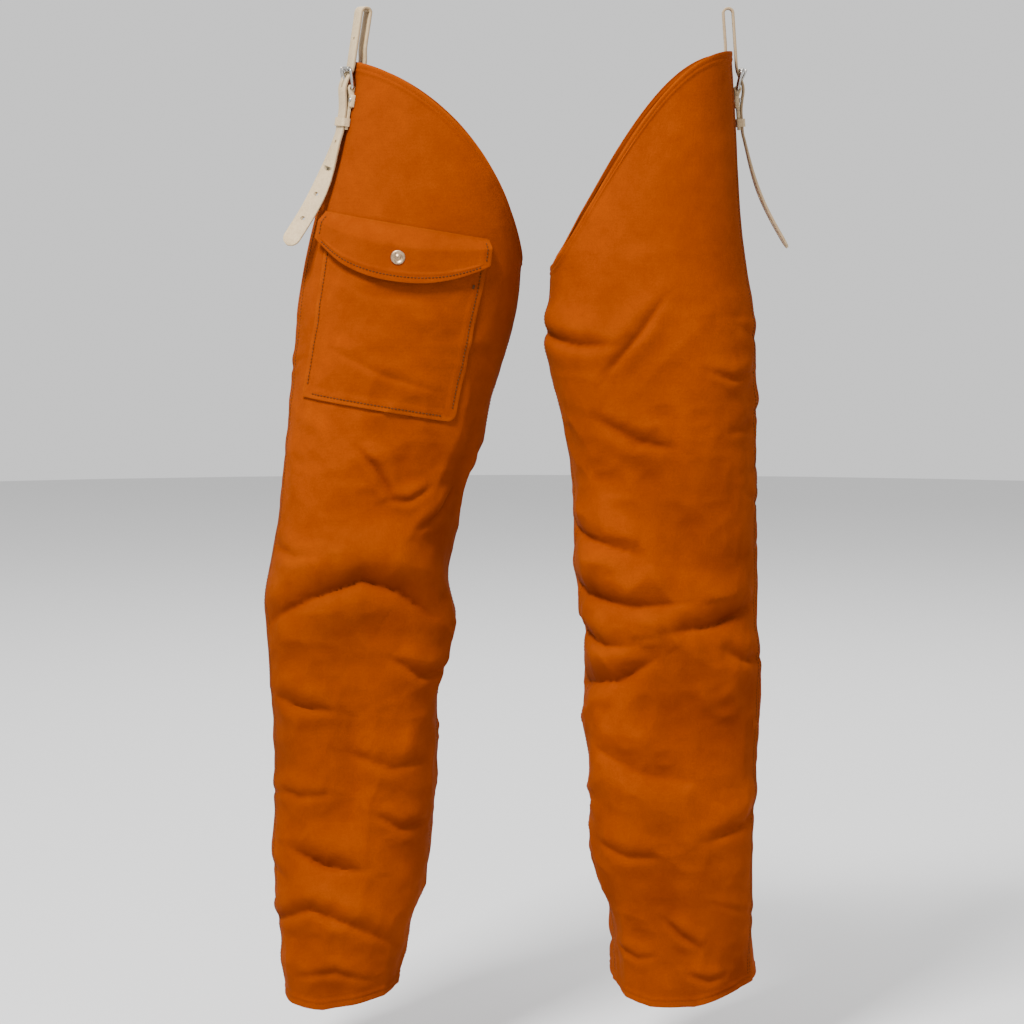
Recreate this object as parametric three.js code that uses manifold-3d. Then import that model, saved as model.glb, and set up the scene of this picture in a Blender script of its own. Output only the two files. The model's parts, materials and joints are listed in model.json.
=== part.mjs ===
// Chainsaw chaps: a pair of separate full-leg leggings, each hung from the wearer's belt by a
// buckled leather strap. Millimetres, +Z up, +Y backwards, origin at the middle of the belt line.
// +X is the wearer's left. Each leg is a tapering tube of heavy canvas with a cut-resistant pad and a
// lining behind its front, split at the knee so that the shin can bend.
import * as THREE from 'three';
import { mergeVertices } from 'three/addons/utils/BufferGeometryUtils.js';
import Module from 'manifold-3d';

const wasm = await Module();
wasm.setup();

// ---- Driving dimensions ----------------------------------------------------------------------
const GAP = 0.3; // clearance between pieces that touch
const HEM_Z = -955; // bottom hem
const KNEE_Z = -560; // height of the knee's axis
const KNEE_BEND = 60; // degrees that the shin bends
const SECTION_POWER = 2.8; // squareness of a leg's section

const CANVAS = 2; // outer cloth
const PAD = 7; // layers of cut-resistant fibre
const LINING = 1;
const PAD_TOP_Z = -135; // highest edge of the pad
const PAD_EDGE = 28; // from the curved top edge down to the pad
const PAD_HEM = 45; // from the bottom hem up to the pad

// Angles run from a leg's outer side (0) over its front (90) to its inner side (180) and back.
const OUTER_SEAM = 24;
const INNER_SEAM = 168;
const FRONT_STEPS = 12; // facets round a panel
const LAYER_GAP = 0.8; // room between the faceted layers
const ROW_LEVELS = [-904, -864, -824, -744, -664, -464, -384, -304]; // heights of facet rows
const CROWN_ROWS = 5; // rows from the last level to the curved top edge
const ROW_ROOM = 8; // smallest height of a facet

// Rows of height, outer edge and inner edge, measured outwards from the wearer's middle.
const LEGS = {
  right: {
    side: -1,
    topZ: -24,
    topDrop: 205,
    dropAt: (u) => 1 - Math.sqrt(Math.max(0, 1 - u ** 1.6)),
    strapAngle: 37,
    edges: [
      [-24, 186, 21],
      [-104, 200, 21],
      [-184, 224, 21],
      [-264, 240, 26],
      [-384, 250, 56],
      [-464, 260, 78],
      [-544, 271, 93],
      [-664, 270, 102],
      [-824, 268, 116],
      [-904, 261, 134],
      [-955, 256, 143],
    ],
  },
  left: {
    side: 1,
    topZ: -20,
    topDrop: 210,
    dropAt: (u) => 1 - Math.cos((Math.PI * u) / 2),
    strapAngle: 8,
    edges: [
      [-20, 185, 12],
      [-104, 191, 12],
      [-184, 197, 12],
      [-264, 207, 11],
      [-304, 211, 9],
      [-384, 212, 24],
      [-464, 212, 37],
      [-544, 215, 44],
      [-664, 220, 46],
      [-824, 212, 54],
      [-904, 212, 74],
      [-955, 215, 78],
    ],
  },
};
const HALF_DEPTHS = [
  [-20, 96],
  [-224, 100],
  [-304, 101],
  [-464, 93],
  [-560, 88],
  [-744, 80],
  [-904, 70],
  [-955, 66],
];

// Strap and buckle, in a frame that lies on the legging: x across, y outwards, z up from the belt.
const STRAP_WIDTH = 19;
const STRAP = 2.4; // thickness
const LOOP_DEPTH = 7; // room for the belt between the strap's two runs
const LOOP_TOP = 21; // top of that room, above the belt's middle
const LOOP_FLOOR = -18; // bottom of the back run's flat
const ANCHOR_INSET = 6.6; // middle of the back run inside the legging
const ANCHOR_TOP = -61;
const ANCHOR_FOOT = -83;
const RIVET_Z = -68;
const STRAP_REACH = 30; // how far above and below the rivets the strap follows the legging
const STRAP_SEAT = 0.6; // room for the legging's curve under the flat tab
const RIVET_CLEAR = 2.5; // from the strap's edge to a rivet's middle
const RIVET_OUT = STRAP_WIDTH / 2 + RIVET_CLEAR;
const RIVET_EDGE = 2; // leather outside a rivet's middle
const ANCHOR_WIDTH = 2 * (RIVET_OUT + RIVET_EDGE);
const RIVET_R = 1.3;
const RIVET_HEAD_R = 2.1;
const BAR_R = 1.5;
const HEEL_Z = -57;
const HEEL_OUT = 4.3;
const FREE_Z = -39;
const ROLLER_ROOM = 0.9; // between the strap and the roller
const ROLLER_R = 2.6;
const FREE_OUT = LOOP_DEPTH / 2 + STRAP + ROLLER_ROOM + ROLLER_R;
const FRAME_ROOM = 1.8; // between the strap's edge and the buckle
const FRAME_INNER = STRAP_WIDTH / 2 + FRAME_ROOM; // half of the buckle's opening across
const FRAME_SIDE = 2.8;
const TONGUE_W = 3;
const TONGUE_T = 2.2;
const TONGUE_PAST = 3; // how far its tip reaches past the free bar
const CHAPE_WIDTH = ANCHOR_WIDTH;
const CHAPE_TONGUE = STRAP_WIDTH + 1; // width of its long layer and of its eye
const CHAPE = 3; // thickness of the long layer
const CHAPE_LIFT = 2.1; // the long layer's height over the legging
const CHAPE_STEP_Z = -75; // foot of the folded layer
const CHAPE_FOOT_Z = -97;
const KEEPER_Z = -90;
const KEEPER_H = 8;
const KEEPER_T = 1.5;
const TAIL_Z = -100; // where the free tail starts to flex
const TAIL_LENGTH = 122;
const SPARE_HOLE_Z = -8; // an adjustment hole in front of the belt
const TAIL_FLARE = 22; // degrees that the tail stands out
const HOLE_R = 2.2;
const HOLE_PITCH = 27;

// Pocket on the right thigh, in the plane of the leg's front.
const POCKET_WIDTH = 160;
const POCKET_TOP = [-132, -200]; // middle of the mouth
const POCKET_DEPTH = 168;
const POCKET_TAPER = 5; // each side, towards the bottom
const POCKET_TILT = 10; // degrees
const POCKET_HEIGHT = 10; // outer face over the leg
const POCKET_RIM = 6; // sewn edge
const FLAP_TOP = [-133, -187];
const FLAP_WIDTH = 162;
const FLAP_END = 26; // depth at the ends
const FLAP_DEPTH = 54; // depth in the middle
const FLAP_HEIGHT = 13.5; // underside over the leg
const FLAP_SEAM = 5; // sewn strip
const FLAP_SEAM_HALF = 40;
const SNAP = [-138, -218];
const SNAP_CAP_R = 7;

// ---- Small helpers ---------------------------------------------------------------------------
const rad = THREE.MathUtils.degToRad;

// Smooth curve through rows of [z, value...], read at a height.
function rowAt(rows, z, column) {
  const last = rows.length - 1;
  let i = 0;
  while (i < last - 1 && z < rows[i + 1][0]) i += 1;
  const [a, b] = [rows[i], rows[i + 1]];
  const slope = (p, q) => (q[column] - p[column]) / (q[0] - p[0]);
  const before = i > 0 ? slope(rows[i - 1], b) : slope(a, b);
  const after = i + 2 <= last ? slope(a, rows[i + 2]) : slope(a, b);
  const span = b[0] - a[0];
  const t = THREE.MathUtils.clamp((z - a[0]) / span, 0, 1);
  const [t2, t3] = [t * t, t * t * t];
  return (2 * t3 - 3 * t2 + 1) * a[column] + (t3 - 2 * t2 + t) * span * before
    + (-2 * t3 + 3 * t2) * b[column] + (t3 - t2) * span * after;
}

function legShape(leg, z) {
  const outer = rowAt(leg.edges, z, 1);
  const inner = rowAt(leg.edges, z, 2);
  return {
    centre: (leg.side * (outer + inner)) / 2,
    halfWidth: (outer - inner) / 2,
    halfDepth: rowAt(HALF_DEPTHS, z, 1),
  };
}

// A point of a leg's surface, an offset outwards from the cloth's outer face.
function legPoint(leg, angle, z, offset = 0) {
  const { centre, halfWidth, halfDepth } = legShape(leg, z);
  const [c, s] = [Math.cos(rad(angle)), Math.sin(rad(angle))];
  const [a, b] = [halfWidth + offset, halfDepth + offset];
  const r = (Math.abs(c / a) ** SECTION_POWER + Math.abs(s / b) ** SECTION_POWER) ** (-1 / SECTION_POWER);
  return new THREE.Vector3(centre + leg.side * r * c, -r * s, z);
}

// Height of the curved top edge, which falls from the hip to the crotch.
function topEdge(leg, angle) {
  let z = leg.topZ;
  for (let i = 0; i < 4; i += 1) {
    const { centre, halfWidth } = legShape(leg, z);
    const out = (leg.side * (legPoint(leg, angle, z).x - centre)) / halfWidth;
    z = leg.topZ - leg.topDrop * leg.dropAt(THREE.MathUtils.clamp((1 - out) / 2, 0, 1));
  }
  return z;
}

// Height of the cut at the knee: level in front of the axis, and opened behind it as a notch.
function kneeEdge(leg, angle, up, offset) {
  const slope = Math.tan(rad(KNEE_BEND / 2 + 0.5));
  let z = KNEE_Z;
  for (let i = 0; i < 6; i += 1) {
    const y = legPoint(leg, angle, z, offset).y;
    z = KNEE_Z + up * (GAP + Math.max(0, y) * slope);
  }
  return z;
}

// A closed sheet between two offsets, over a range of angles, from a low edge to a high edge. Its
// rows lie at the same heights on every layer, so that the layers' facets stay parallel.
function sheetSolid(leg, angles, low, high, offsets, across) {
  const positions = [];
  const index = [];
  const columns = offsets.map((offset) => Array.from({ length: across + 1 }, (_, i) => {
    const angle = THREE.MathUtils.lerp(angles[0], angles[1], i / across);
    return { offset, angle, from: low(angle, offset), to: high(angle, offset) };
  })).flat();
  const floor = Math.max(...columns.map((column) => column.from)) + ROW_ROOM;
  const roof = Math.min(...columns.map((column) => column.to)) - ROW_ROOM;
  const levels = ROW_LEVELS.filter((z) => z > floor && z < roof);
  const crown = roof > KNEE_Z ? CROWN_ROWS : 1;
  for (const { offset, angle, from, to } of columns) {
    const last = levels[levels.length - 1];
    const heights = [from, ...levels];
    for (let j = 1; j <= crown; j += 1) heights.push(THREE.MathUtils.lerp(last, to, j / crown));
    heights.forEach((z) => positions.push(...legPoint(leg, angle, z, offset)));
  }
  const along = levels.length + crown;
  const row = along + 1;
  const under = row * (across + 1);
  const quad = (a, b, c, d) => index.push(a, b, c, a, c, d);
  for (let i = 0; i < across; i += 1) {
    for (let j = 0; j < along; j += 1) {
      const a = i * row + j;
      quad(a, a + 1, a + row + 1, a + row);
      quad(under + a, under + a + row, under + a + row + 1, under + a + 1);
    }
    for (const [j, turn] of [[0, false], [along, true]]) {
      const a = i * row + j;
      if (turn) quad(a, under + a, under + a + row, a + row);
      else quad(a, a + row, under + a + row, under + a);
    }
  }
  for (let j = 0; j < along; j += 1) {
    const last = across * row + j;
    quad(j, under + j, under + j + 1, j + 1);
    quad(last, last + 1, under + last + 1, under + last);
  }
  const geometry = new THREE.BufferGeometry();
  geometry.setAttribute('position', new THREE.Float32BufferAttribute(positions, 3));
  geometry.setIndex(index);
  return facingOut(geometry);
}

function facingOut(geometry) {
  const p = geometry.attributes.position;
  const index = geometry.index.array;
  const [a, b, c] = [new THREE.Vector3(), new THREE.Vector3(), new THREE.Vector3()];
  let volume = 0;
  for (let i = 0; i < index.length; i += 3) {
    a.fromBufferAttribute(p, index[i]);
    b.fromBufferAttribute(p, index[i + 1]);
    c.fromBufferAttribute(p, index[i + 2]);
    volume += a.dot(b.cross(c));
  }
  if (volume < 0) {
    for (let i = 0; i < index.length; i += 3) [index[i], index[i + 1]] = [index[i + 1], index[i]];
  }
  return geometry;
}

function toSolid(geometry) {
  const bare = geometry.clone();
  bare.deleteAttribute('normal');
  bare.deleteAttribute('uv');
  const merged = mergeVertices(bare, 1e-4);
  return new wasm.Manifold(new wasm.Mesh({
    numProp: 3,
    vertProperties: new Float32Array(merged.attributes.position.array),
    triVerts: new Uint32Array(merged.index.array),
  }));
}

function toGeometry(solid) {
  const mesh = solid.getMesh();
  const geometry = new THREE.BufferGeometry();
  geometry.setAttribute('position', new THREE.BufferAttribute(mesh.vertProperties, 3));
  geometry.setIndex(new THREE.BufferAttribute(mesh.triVerts, 1));
  return geometry;
}

const join = (...pieces) => toGeometry(pieces.map(toSolid).reduce((a, b) => a.add(b)));
const cut = (piece, ...tools) => toGeometry(tools.map(toSolid).reduce((a, b) => a.subtract(b), toSolid(piece)));
const common = (a, b) => toGeometry(toSolid(a).intersect(toSolid(b)));

function box(x0, x1, y0, y1, z0, z1) {
  return new THREE.BoxGeometry(x1 - x0, y1 - y0, z1 - z0)
    .translate((x0 + x1) / 2, (y0 + y1) / 2, (z0 + z1) / 2);
}

// A round bar across the strap, or one that points outwards.
function barAcross(radius, length, y, z, sides = 16) {
  return new THREE.CylinderGeometry(radius, radius, length, sides).rotateZ(Math.PI / 2).translate(0, y, z);
}

function barOut(radius, y0, y1, x, z, sides = 14) {
  return new THREE.CylinderGeometry(radius, radius, y1 - y0, sides).translate(x, (y0 + y1) / 2, z);
}

// A profile in the outwards-and-up plane, drawn out across the strap.
function drawnAcross(shape, width, curveSegments = 6) {
  const turn = new THREE.Matrix4().makeBasis(
    new THREE.Vector3(0, 1, 0),
    new THREE.Vector3(0, 0, 1),
    new THREE.Vector3(1, 0, 0),
  );
  return new THREE.ExtrudeGeometry(shape, { depth: width, bevelEnabled: false, curveSegments })
    .translate(0, 0, -width / 2)
    .applyMatrix4(turn);
}

// An outline in the across-and-up plane, with its thickness from y0 to y1.
function platePiece(shape, y0, y1, curveSegments = 8) {
  const turn = new THREE.Matrix4().makeBasis(
    new THREE.Vector3(1, 0, 0),
    new THREE.Vector3(0, 0, 1),
    new THREE.Vector3(0, -1, 0),
  );
  return new THREE.ExtrudeGeometry(shape, { depth: y1 - y0, bevelEnabled: false, curveSegments })
    .applyMatrix4(turn)
    .translate(0, y1, 0);
}

// The outline of a band of even thickness along a line of points.
function bandShape(points, thickness) {
  const sides = [[], []];
  points.forEach((point, i) => {
    const before = points[Math.max(0, i - 1)];
    const after = points[Math.min(points.length - 1, i + 1)];
    const into = point.clone().sub(before);
    const out = after.clone().sub(point);
    if (i === 0) into.copy(out);
    if (i === points.length - 1) out.copy(into);
    const mean = into.normalize().add(out.normalize()).normalize();
    const half = thickness / 2 / Math.max(0.5, mean.dot(out));
    const normal = new THREE.Vector2(-mean.y, mean.x).multiplyScalar(half);
    sides[0].push(point.clone().add(normal));
    sides[1].push(point.clone().sub(normal));
  });
  return new THREE.Shape([...sides[0], ...sides[1].reverse()]);
}

// ---- Materials -------------------------------------------------------------------------------
const canvasMaterial = () => new THREE.MeshStandardMaterial({ color: 0xa84e06, roughness: 0.9 });
const padMaterial = () => new THREE.MeshStandardMaterial({ color: 0xd9d4c2, roughness: 0.95 });
const liningMaterial = () => new THREE.MeshStandardMaterial({ color: 0x5a2c10, roughness: 0.85 });
const leatherMaterial = () => new THREE.MeshStandardMaterial({ color: 0xcdbc9c, roughness: 0.6 });
const nickelMaterial = () => new THREE.MeshStandardMaterial({ color: 0xc4c2bc, roughness: 0.25, metalness: 1 });

function named(name, geometry, material) {
  const mesh = new THREE.Mesh(geometry, material);
  mesh.name = name;
  return mesh;
}

// ---- Legging shell, pad and lining -----------------------------------------------------------
function seatFrame(leg, angle, z, reach = 1) {
  const step = 0.5;
  const point = legPoint(leg, angle, z);
  const up = legPoint(leg, angle, z + reach).sub(legPoint(leg, angle, z - reach)).normalize();
  const around = legPoint(leg, angle + step, z).sub(point).normalize();
  const out = around.clone().cross(up).normalize();
  const { centre } = legShape(leg, z);
  if (out.dot(new THREE.Vector3(point.x - centre, point.y, 0)) < 0) out.negate();
  const across = out.clone().cross(up).normalize();
  return new THREE.Matrix4().makeBasis(across, out, up).setPosition(point);
}

// The strap's frame, with its zero height at the belt.
function strapFrame(leg) {
  const lift = new THREE.Matrix4().makeTranslation(0, STRAP_SEAT, -RIVET_Z);
  return seatFrame(leg, leg.strapAngle, RIVET_Z, STRAP_REACH).multiply(lift);
}

const rivetTool = (x) => barOut(RIVET_R + GAP, -12, 12, x, RIVET_Z);

const SEAM_HALF_GAP = 0.12; // degrees, half of the gap between two panels

function shellPiece(leg, angles, upper) {
  const range = [angles[0] + SEAM_HALF_GAP, angles[1] - SEAM_HALF_GAP];
  const low = (angle, offset) => (upper ? kneeEdge(leg, angle, 1, offset) : HEM_Z);
  const high = (angle, offset) => (upper ? topEdge(leg, angle) : kneeEdge(leg, angle, -1, offset));
  const sheet = sheetSolid(leg, range, low, high, [0, -CANVAS], FRONT_STEPS);
  if (!upper) return sheet;
  const frame = strapFrame(leg);
  return cut(sheet, ...[-RIVET_OUT, RIVET_OUT].map((x) => rivetTool(x).applyMatrix4(frame)));
}

// The pad's and the lining's layers, set back from the seams and hems.
function layerPiece(leg, inset, thickness, upper) {
  const setback = (INNER_SEAM - OUTER_SEAM) / FRONT_STEPS;
  const range = [OUTER_SEAM + setback, INNER_SEAM - setback];
  const low = (angle, offset) => (upper ? kneeEdge(leg, angle, 1, offset) : HEM_Z + PAD_HEM);
  const crown = (angle) => Math.min(PAD_TOP_Z, topEdge(leg, angle) - PAD_EDGE);
  const high = (angle, offset) => (upper ? crown(angle) : kneeEdge(leg, angle, -1, offset));
  return sheetSolid(leg, range, low, high, [-inset, -inset - thickness], FRONT_STEPS - 2);
}

function makeLegging(name, leg) {
  const group = new THREE.Group();
  const padInset = CANVAS + LAYER_GAP;
  const liningInset = padInset + PAD + LAYER_GAP;
  for (const [part, upper] of [['upper', true], ['lower', false]]) {
    const front = shellPiece(leg, [OUTER_SEAM, INNER_SEAM], upper);
    const back = shellPiece(leg, [INNER_SEAM, 360 + OUTER_SEAM], upper);
    const pad = layerPiece(leg, padInset, PAD, upper);
    const lining = layerPiece(leg, liningInset, LINING, upper);
    group.add(
      named(`${name}_front_panel_${part}`, front, canvasMaterial()),
      named(`${name}_back_panel_${part}`, back, canvasMaterial()),
      named(`${name}_pad_${part}`, pad, padMaterial()),
      named(`${name}_lining_${part}`, lining, liningMaterial()),
    );
  }
  return group;
}

// ---- Strap and buckle ------------------------------------------------------------------------
const LOOP_MIDDLE = (LOOP_DEPTH + STRAP) / 2; // from the belt's middle to the middle of a run
const STRAP_OVER_CHAPE = CHAPE_LIFT + CHAPE + GAP + STRAP / 2;
const EYE_R = BAR_R + GAP;
const EYE_WALL = 1.8; // leather round the heel bar
const CREST_OUT = HEEL_OUT + EYE_R + EYE_WALL + GAP + STRAP / 2;

// Up the inside of the legging, over the belt and down through the buckle to the keeper.
function strapPiece() {
  const at = (y, z) => new THREE.Vector2(y, z);
  const points = [
    at(-ANCHOR_INSET, ANCHOR_FOOT),
    at(-ANCHOR_INSET, LOOP_FLOOR - 10),
    at(-LOOP_MIDDLE, LOOP_FLOOR),
  ];
  const crown = LOOP_TOP - LOOP_DEPTH / 2;
  const arcSteps = 8;
  for (let i = 0; i <= arcSteps; i += 1) {
    const turn = Math.PI * (1 - i / arcSteps);
    points.push(at(LOOP_MIDDLE * Math.cos(turn), crown + LOOP_MIDDLE * Math.sin(turn)));
  }
  points.push(
    at(LOOP_MIDDLE, LOOP_FLOOR),
    at(LOOP_MIDDLE + 0.4, FREE_Z),
    at(CREST_OUT, HEEL_Z + 3),
    at(CREST_OUT, HEEL_Z - 3),
    at(STRAP_OVER_CHAPE, HEEL_Z - 18),
    at(STRAP_OVER_CHAPE, TAIL_Z),
  );
  const anchor = box(
    -ANCHOR_WIDTH / 2, ANCHOR_WIDTH / 2,
    -ANCHOR_INSET - STRAP / 2, -ANCHOR_INSET + STRAP / 2,
    ANCHOR_FOOT, ANCHOR_TOP,
  );
  const roundEnd = barAcross(STRAP / 2, STRAP_WIDTH, STRAP_OVER_CHAPE, TAIL_Z);
  const tongueSlot = box(-TONGUE_W / 2 - 0.7, TONGUE_W / 2 + 0.7, 2, 14, HEEL_Z - 1, FREE_Z - 4);
  const solid = join(drawnAcross(bandShape(points, STRAP), STRAP_WIDTH), anchor, roundEnd);
  const holes = [-RIVET_OUT, RIVET_OUT].map((x) => (
    barOut(RIVET_R + GAP, -ANCHOR_INSET - 3, -ANCHOR_INSET + 3, x, RIVET_Z)
  ));
  const spareHole = barOut(HOLE_R, 2, 8, 0, SPARE_HOLE_Z);
  return cut(solid, tongueSlot, ...holes, spareHole);
}

// The free tail hangs from the flex line, with its origin there.
function tailPiece() {
  const start = STRAP / 2 + GAP + 0.1;
  const half = STRAP_WIDTH / 2;
  const shape = new THREE.Shape();
  shape.moveTo(-half, -start);
  shape.lineTo(-half, -TAIL_LENGTH + half);
  shape.absarc(0, -TAIL_LENGTH + half, half, Math.PI, 2 * Math.PI, false);
  shape.lineTo(half, -start);
  for (let z = -10; z > -TAIL_LENGTH + 2 * half; z -= HOLE_PITCH) {
    const hole = new THREE.Path();
    hole.absarc(0, z, HOLE_R, 0, 2 * Math.PI, true);
    shape.holes.push(hole);
  }
  return platePiece(shape, -STRAP / 2, STRAP / 2, 6);
}

// A folded leather tab: its eye holds the heel bar, its short layer is riveted to the legging.
function chapePiece() {
  const outerR = EYE_R + EYE_WALL;
  const eye = new THREE.Shape().absarc(HEEL_OUT, HEEL_Z, outerR, 0, 2 * Math.PI);
  const top = CHAPE_LIFT + CHAPE;
  const neck = box(-CHAPE_TONGUE / 2, CHAPE_TONGUE / 2, HEEL_OUT - outerR + 0.1, top, RIVET_Z + 2, HEEL_Z);
  const wide = box(-CHAPE_WIDTH / 2, CHAPE_WIDTH / 2, GAP, top, CHAPE_STEP_Z, RIVET_Z + 5);
  const long = box(-CHAPE_TONGUE / 2, CHAPE_TONGUE / 2, CHAPE_LIFT, top, CHAPE_FOOT_Z, CHAPE_STEP_Z + 1);
  const solid = join(drawnAcross(eye, CHAPE_TONGUE, 12), neck, wide, long);
  const room = TONGUE_W / 2 + 0.5;
  return cut(
    solid,
    barAcross(EYE_R, 2 * CHAPE_TONGUE, HEEL_OUT, HEEL_Z),
    box(-room, room, 0, 12, HEEL_Z - 4.2, HEEL_Z + 5),
    rivetTool(-RIVET_OUT),
    rivetTool(RIVET_OUT),
  );
}

function framePiece() {
  const length = 2 * (FRAME_INNER + FRAME_SIDE);
  const rise = Math.hypot(FREE_OUT - HEEL_OUT, FREE_Z - HEEL_Z);
  const lean = Math.atan2(FREE_OUT - HEEL_OUT, FREE_Z - HEEL_Z);
  const side = (x) => new THREE.BoxGeometry(FRAME_SIDE, 2 * BAR_R, rise)
    .rotateX(-lean)
    .translate(x, (HEEL_OUT + FREE_OUT) / 2, (HEEL_Z + FREE_Z) / 2);
  const middle = FRAME_INNER + FRAME_SIDE / 2;
  return join(
    barAcross(BAR_R, length, HEEL_OUT, HEEL_Z),
    barAcross(BAR_R, length, FREE_OUT, FREE_Z),
    side(-middle),
    side(middle),
  );
}

// The roller turns on the free bar; its origin is on that bar.
function rollerPiece() {
  const length = 2 * (FRAME_INNER - GAP);
  return cut(barAcross(ROLLER_R, length, 0, 0, 20), barAcross(BAR_R + GAP, length + 2, 0, 0));
}

// The tongue turns on the heel bar and rests on the roller; its origin is on the heel bar.
function tonguePiece() {
  const [dy, dz] = [FREE_OUT - HEEL_OUT, FREE_Z - HEEL_Z];
  const apart = Math.hypot(dy, dz);
  const lean = Math.atan2(dy, dz) + Math.asin((ROLLER_R + TONGUE_T / 2 + GAP) / apart);
  const root = EYE_R + 0.6;
  const rod = new THREE.BoxGeometry(TONGUE_W, TONGUE_T, apart + TONGUE_PAST - root)
    .translate(0, 0, (apart + TONGUE_PAST + root) / 2)
    .rotateX(-lean);
  const ring = barAcross(EYE_R + 1.4, TONGUE_W, 0, 0);
  return cut(join(ring, rod), barAcross(EYE_R, TONGUE_W + 2, 0, 0));
}

// A leather loop round the chape and the strap, with its origin at its middle.
function keeperPiece() {
  const [back, front] = [GAP, STRAP_OVER_CHAPE + STRAP / 2 + GAP + KEEPER_T];
  const half = CHAPE_TONGUE / 2 + GAP + KEEPER_T;
  const outside = box(-half, half, back, front, -KEEPER_H / 2, KEEPER_H / 2);
  const inside = box(
    -half + KEEPER_T, half - KEEPER_T,
    back + KEEPER_T, front - KEEPER_T,
    -KEEPER_H, KEEPER_H,
  );
  return cut(outside, inside);
}

// Head outside the chape, shank through chape, cloth and anchor.
function rivetPiece(x) {
  const top = CHAPE_LIFT + CHAPE + GAP;
  return join(
    barOut(RIVET_HEAD_R, top, top + 1.2, x, RIVET_Z),
    barOut(RIVET_R, -ANCHOR_INSET - STRAP / 2 - GAP - 1.4, top + 0.6, x, RIVET_Z),
  );
}

function burrPiece(x) {
  const under = -ANCHOR_INSET - STRAP / 2 - GAP;
  return cut(barOut(RIVET_HEAD_R + 0.6, under - 1.2, under, x, RIVET_Z), rivetTool(x));
}

function makeStrap(name, leg) {
  const group = new THREE.Group();
  group.applyMatrix4(strapFrame(leg));
  const roller = named(`${name}_buckle_roller`, rollerPiece(), nickelMaterial());
  roller.position.set(0, FREE_OUT, FREE_Z);
  const tongue = named(`${name}_buckle_tongue`, tonguePiece(), nickelMaterial());
  tongue.position.set(0, HEEL_OUT, HEEL_Z);
  const keeper = named(`${name}_strap_keeper`, keeperPiece(), leatherMaterial());
  keeper.position.set(0, 0, KEEPER_Z);
  const tail = named(`${name}_strap_tail`, tailPiece(), leatherMaterial());
  tail.position.set(0, STRAP_OVER_CHAPE, TAIL_Z);
  tail.rotation.x = rad(TAIL_FLARE);
  group.add(
    named(`${name}_strap`, strapPiece(), leatherMaterial()),
    named(`${name}_buckle_chape`, chapePiece(), leatherMaterial()),
    named(`${name}_buckle_frame`, framePiece(), nickelMaterial()),
    roller,
    tongue,
    keeper,
    tail,
  );
  [['front', -RIVET_OUT], ['rear', RIVET_OUT]].forEach(([place, x]) => {
    group.add(
      named(`${name}_rivet_${place}`, rivetPiece(x), nickelMaterial()),
      named(`${name}_burr_${place}`, burrPiece(x), nickelMaterial()),
    );
  });
  return group;
}

// ---- Pocket ----------------------------------------------------------------------------------
// A layer of the leg's front between two offsets, kept inside an outline in the plane of the front.
function frontLayer(leg, offsets, outline) {
  const step = (INNER_SEAM - OUTER_SEAM) / FRONT_STEPS;
  const range = [OUTER_SEAM - step, INNER_SEAM];
  const block = sheetSolid(leg, range, () => -420, () => -150, [offsets[1], offsets[0]], FRONT_STEPS + 1);
  const depth = 200;
  const prism = platePiece(new THREE.Shape(outline), -depth, 0);
  return common(block, prism);
}

function tilted(origin, x, z) {
  const [c, s] = [Math.cos(rad(POCKET_TILT)), Math.sin(rad(POCKET_TILT))];
  return new THREE.Vector2(origin[0] + x * c + z * s, origin[1] - x * s + z * c);
}

function pocketOutline(inset, mouth) {
  const [top, foot] = [POCKET_WIDTH / 2 - inset, POCKET_WIDTH / 2 - POCKET_TAPER - inset];
  const bottom = -POCKET_DEPTH + inset;
  const corners = [[-top, mouth], [top, mouth], [foot, bottom], [-foot, bottom]];
  return corners.map(([x, z]) => tilted(POCKET_TOP, x, z));
}

function pocketPiece(leg, snapFrame) {
  const shell = frontLayer(leg, [GAP, POCKET_HEIGHT], pocketOutline(0, 0));
  const room = frontLayer(leg, [-3, POCKET_HEIGHT - CANVAS], pocketOutline(POCKET_RIM, POCKET_RIM));
  return cut(shell, room, barOut(1.5, 0, 16, 0, 0).applyMatrix4(snapFrame));
}

function flapOutline(width, middle, end) {
  const steps = 8;
  const points = [tilted(FLAP_TOP, width / 2, 0), tilted(FLAP_TOP, -width / 2, 0)];
  for (let i = 0; i <= steps; i += 1) {
    const u = (2 * i) / steps - 1;
    points.push(tilted(FLAP_TOP, (u * width) / 2, -middle + (middle - end) * u * u));
  }
  return points;
}

function flapPiece(leg, snapFrame) {
  const plate = frontLayer(leg, [FLAP_HEIGHT, FLAP_HEIGHT + CANVAS], flapOutline(FLAP_WIDTH, FLAP_DEPTH, FLAP_END));
  const seam = frontLayer(
    leg,
    [GAP, FLAP_HEIGHT + CANVAS],
    flapOutline(2 * FLAP_SEAM_HALF, FLAP_SEAM, FLAP_SEAM),
  );
  return cut(join(plate, seam), barOut(1.9, 8, 24, 0, 0).applyMatrix4(snapFrame));
}

// Snap fastener: cap and socket on the flap, stud and post on the pocket.
const lathe = (points, sides = 16) => facingOut(mergeVertices(
  new THREE.LatheGeometry(points.map(([r, y]) => new THREE.Vector2(r, y)), sides)
    .deleteAttribute('normal').deleteAttribute('uv'),
  1e-4,
));

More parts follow.
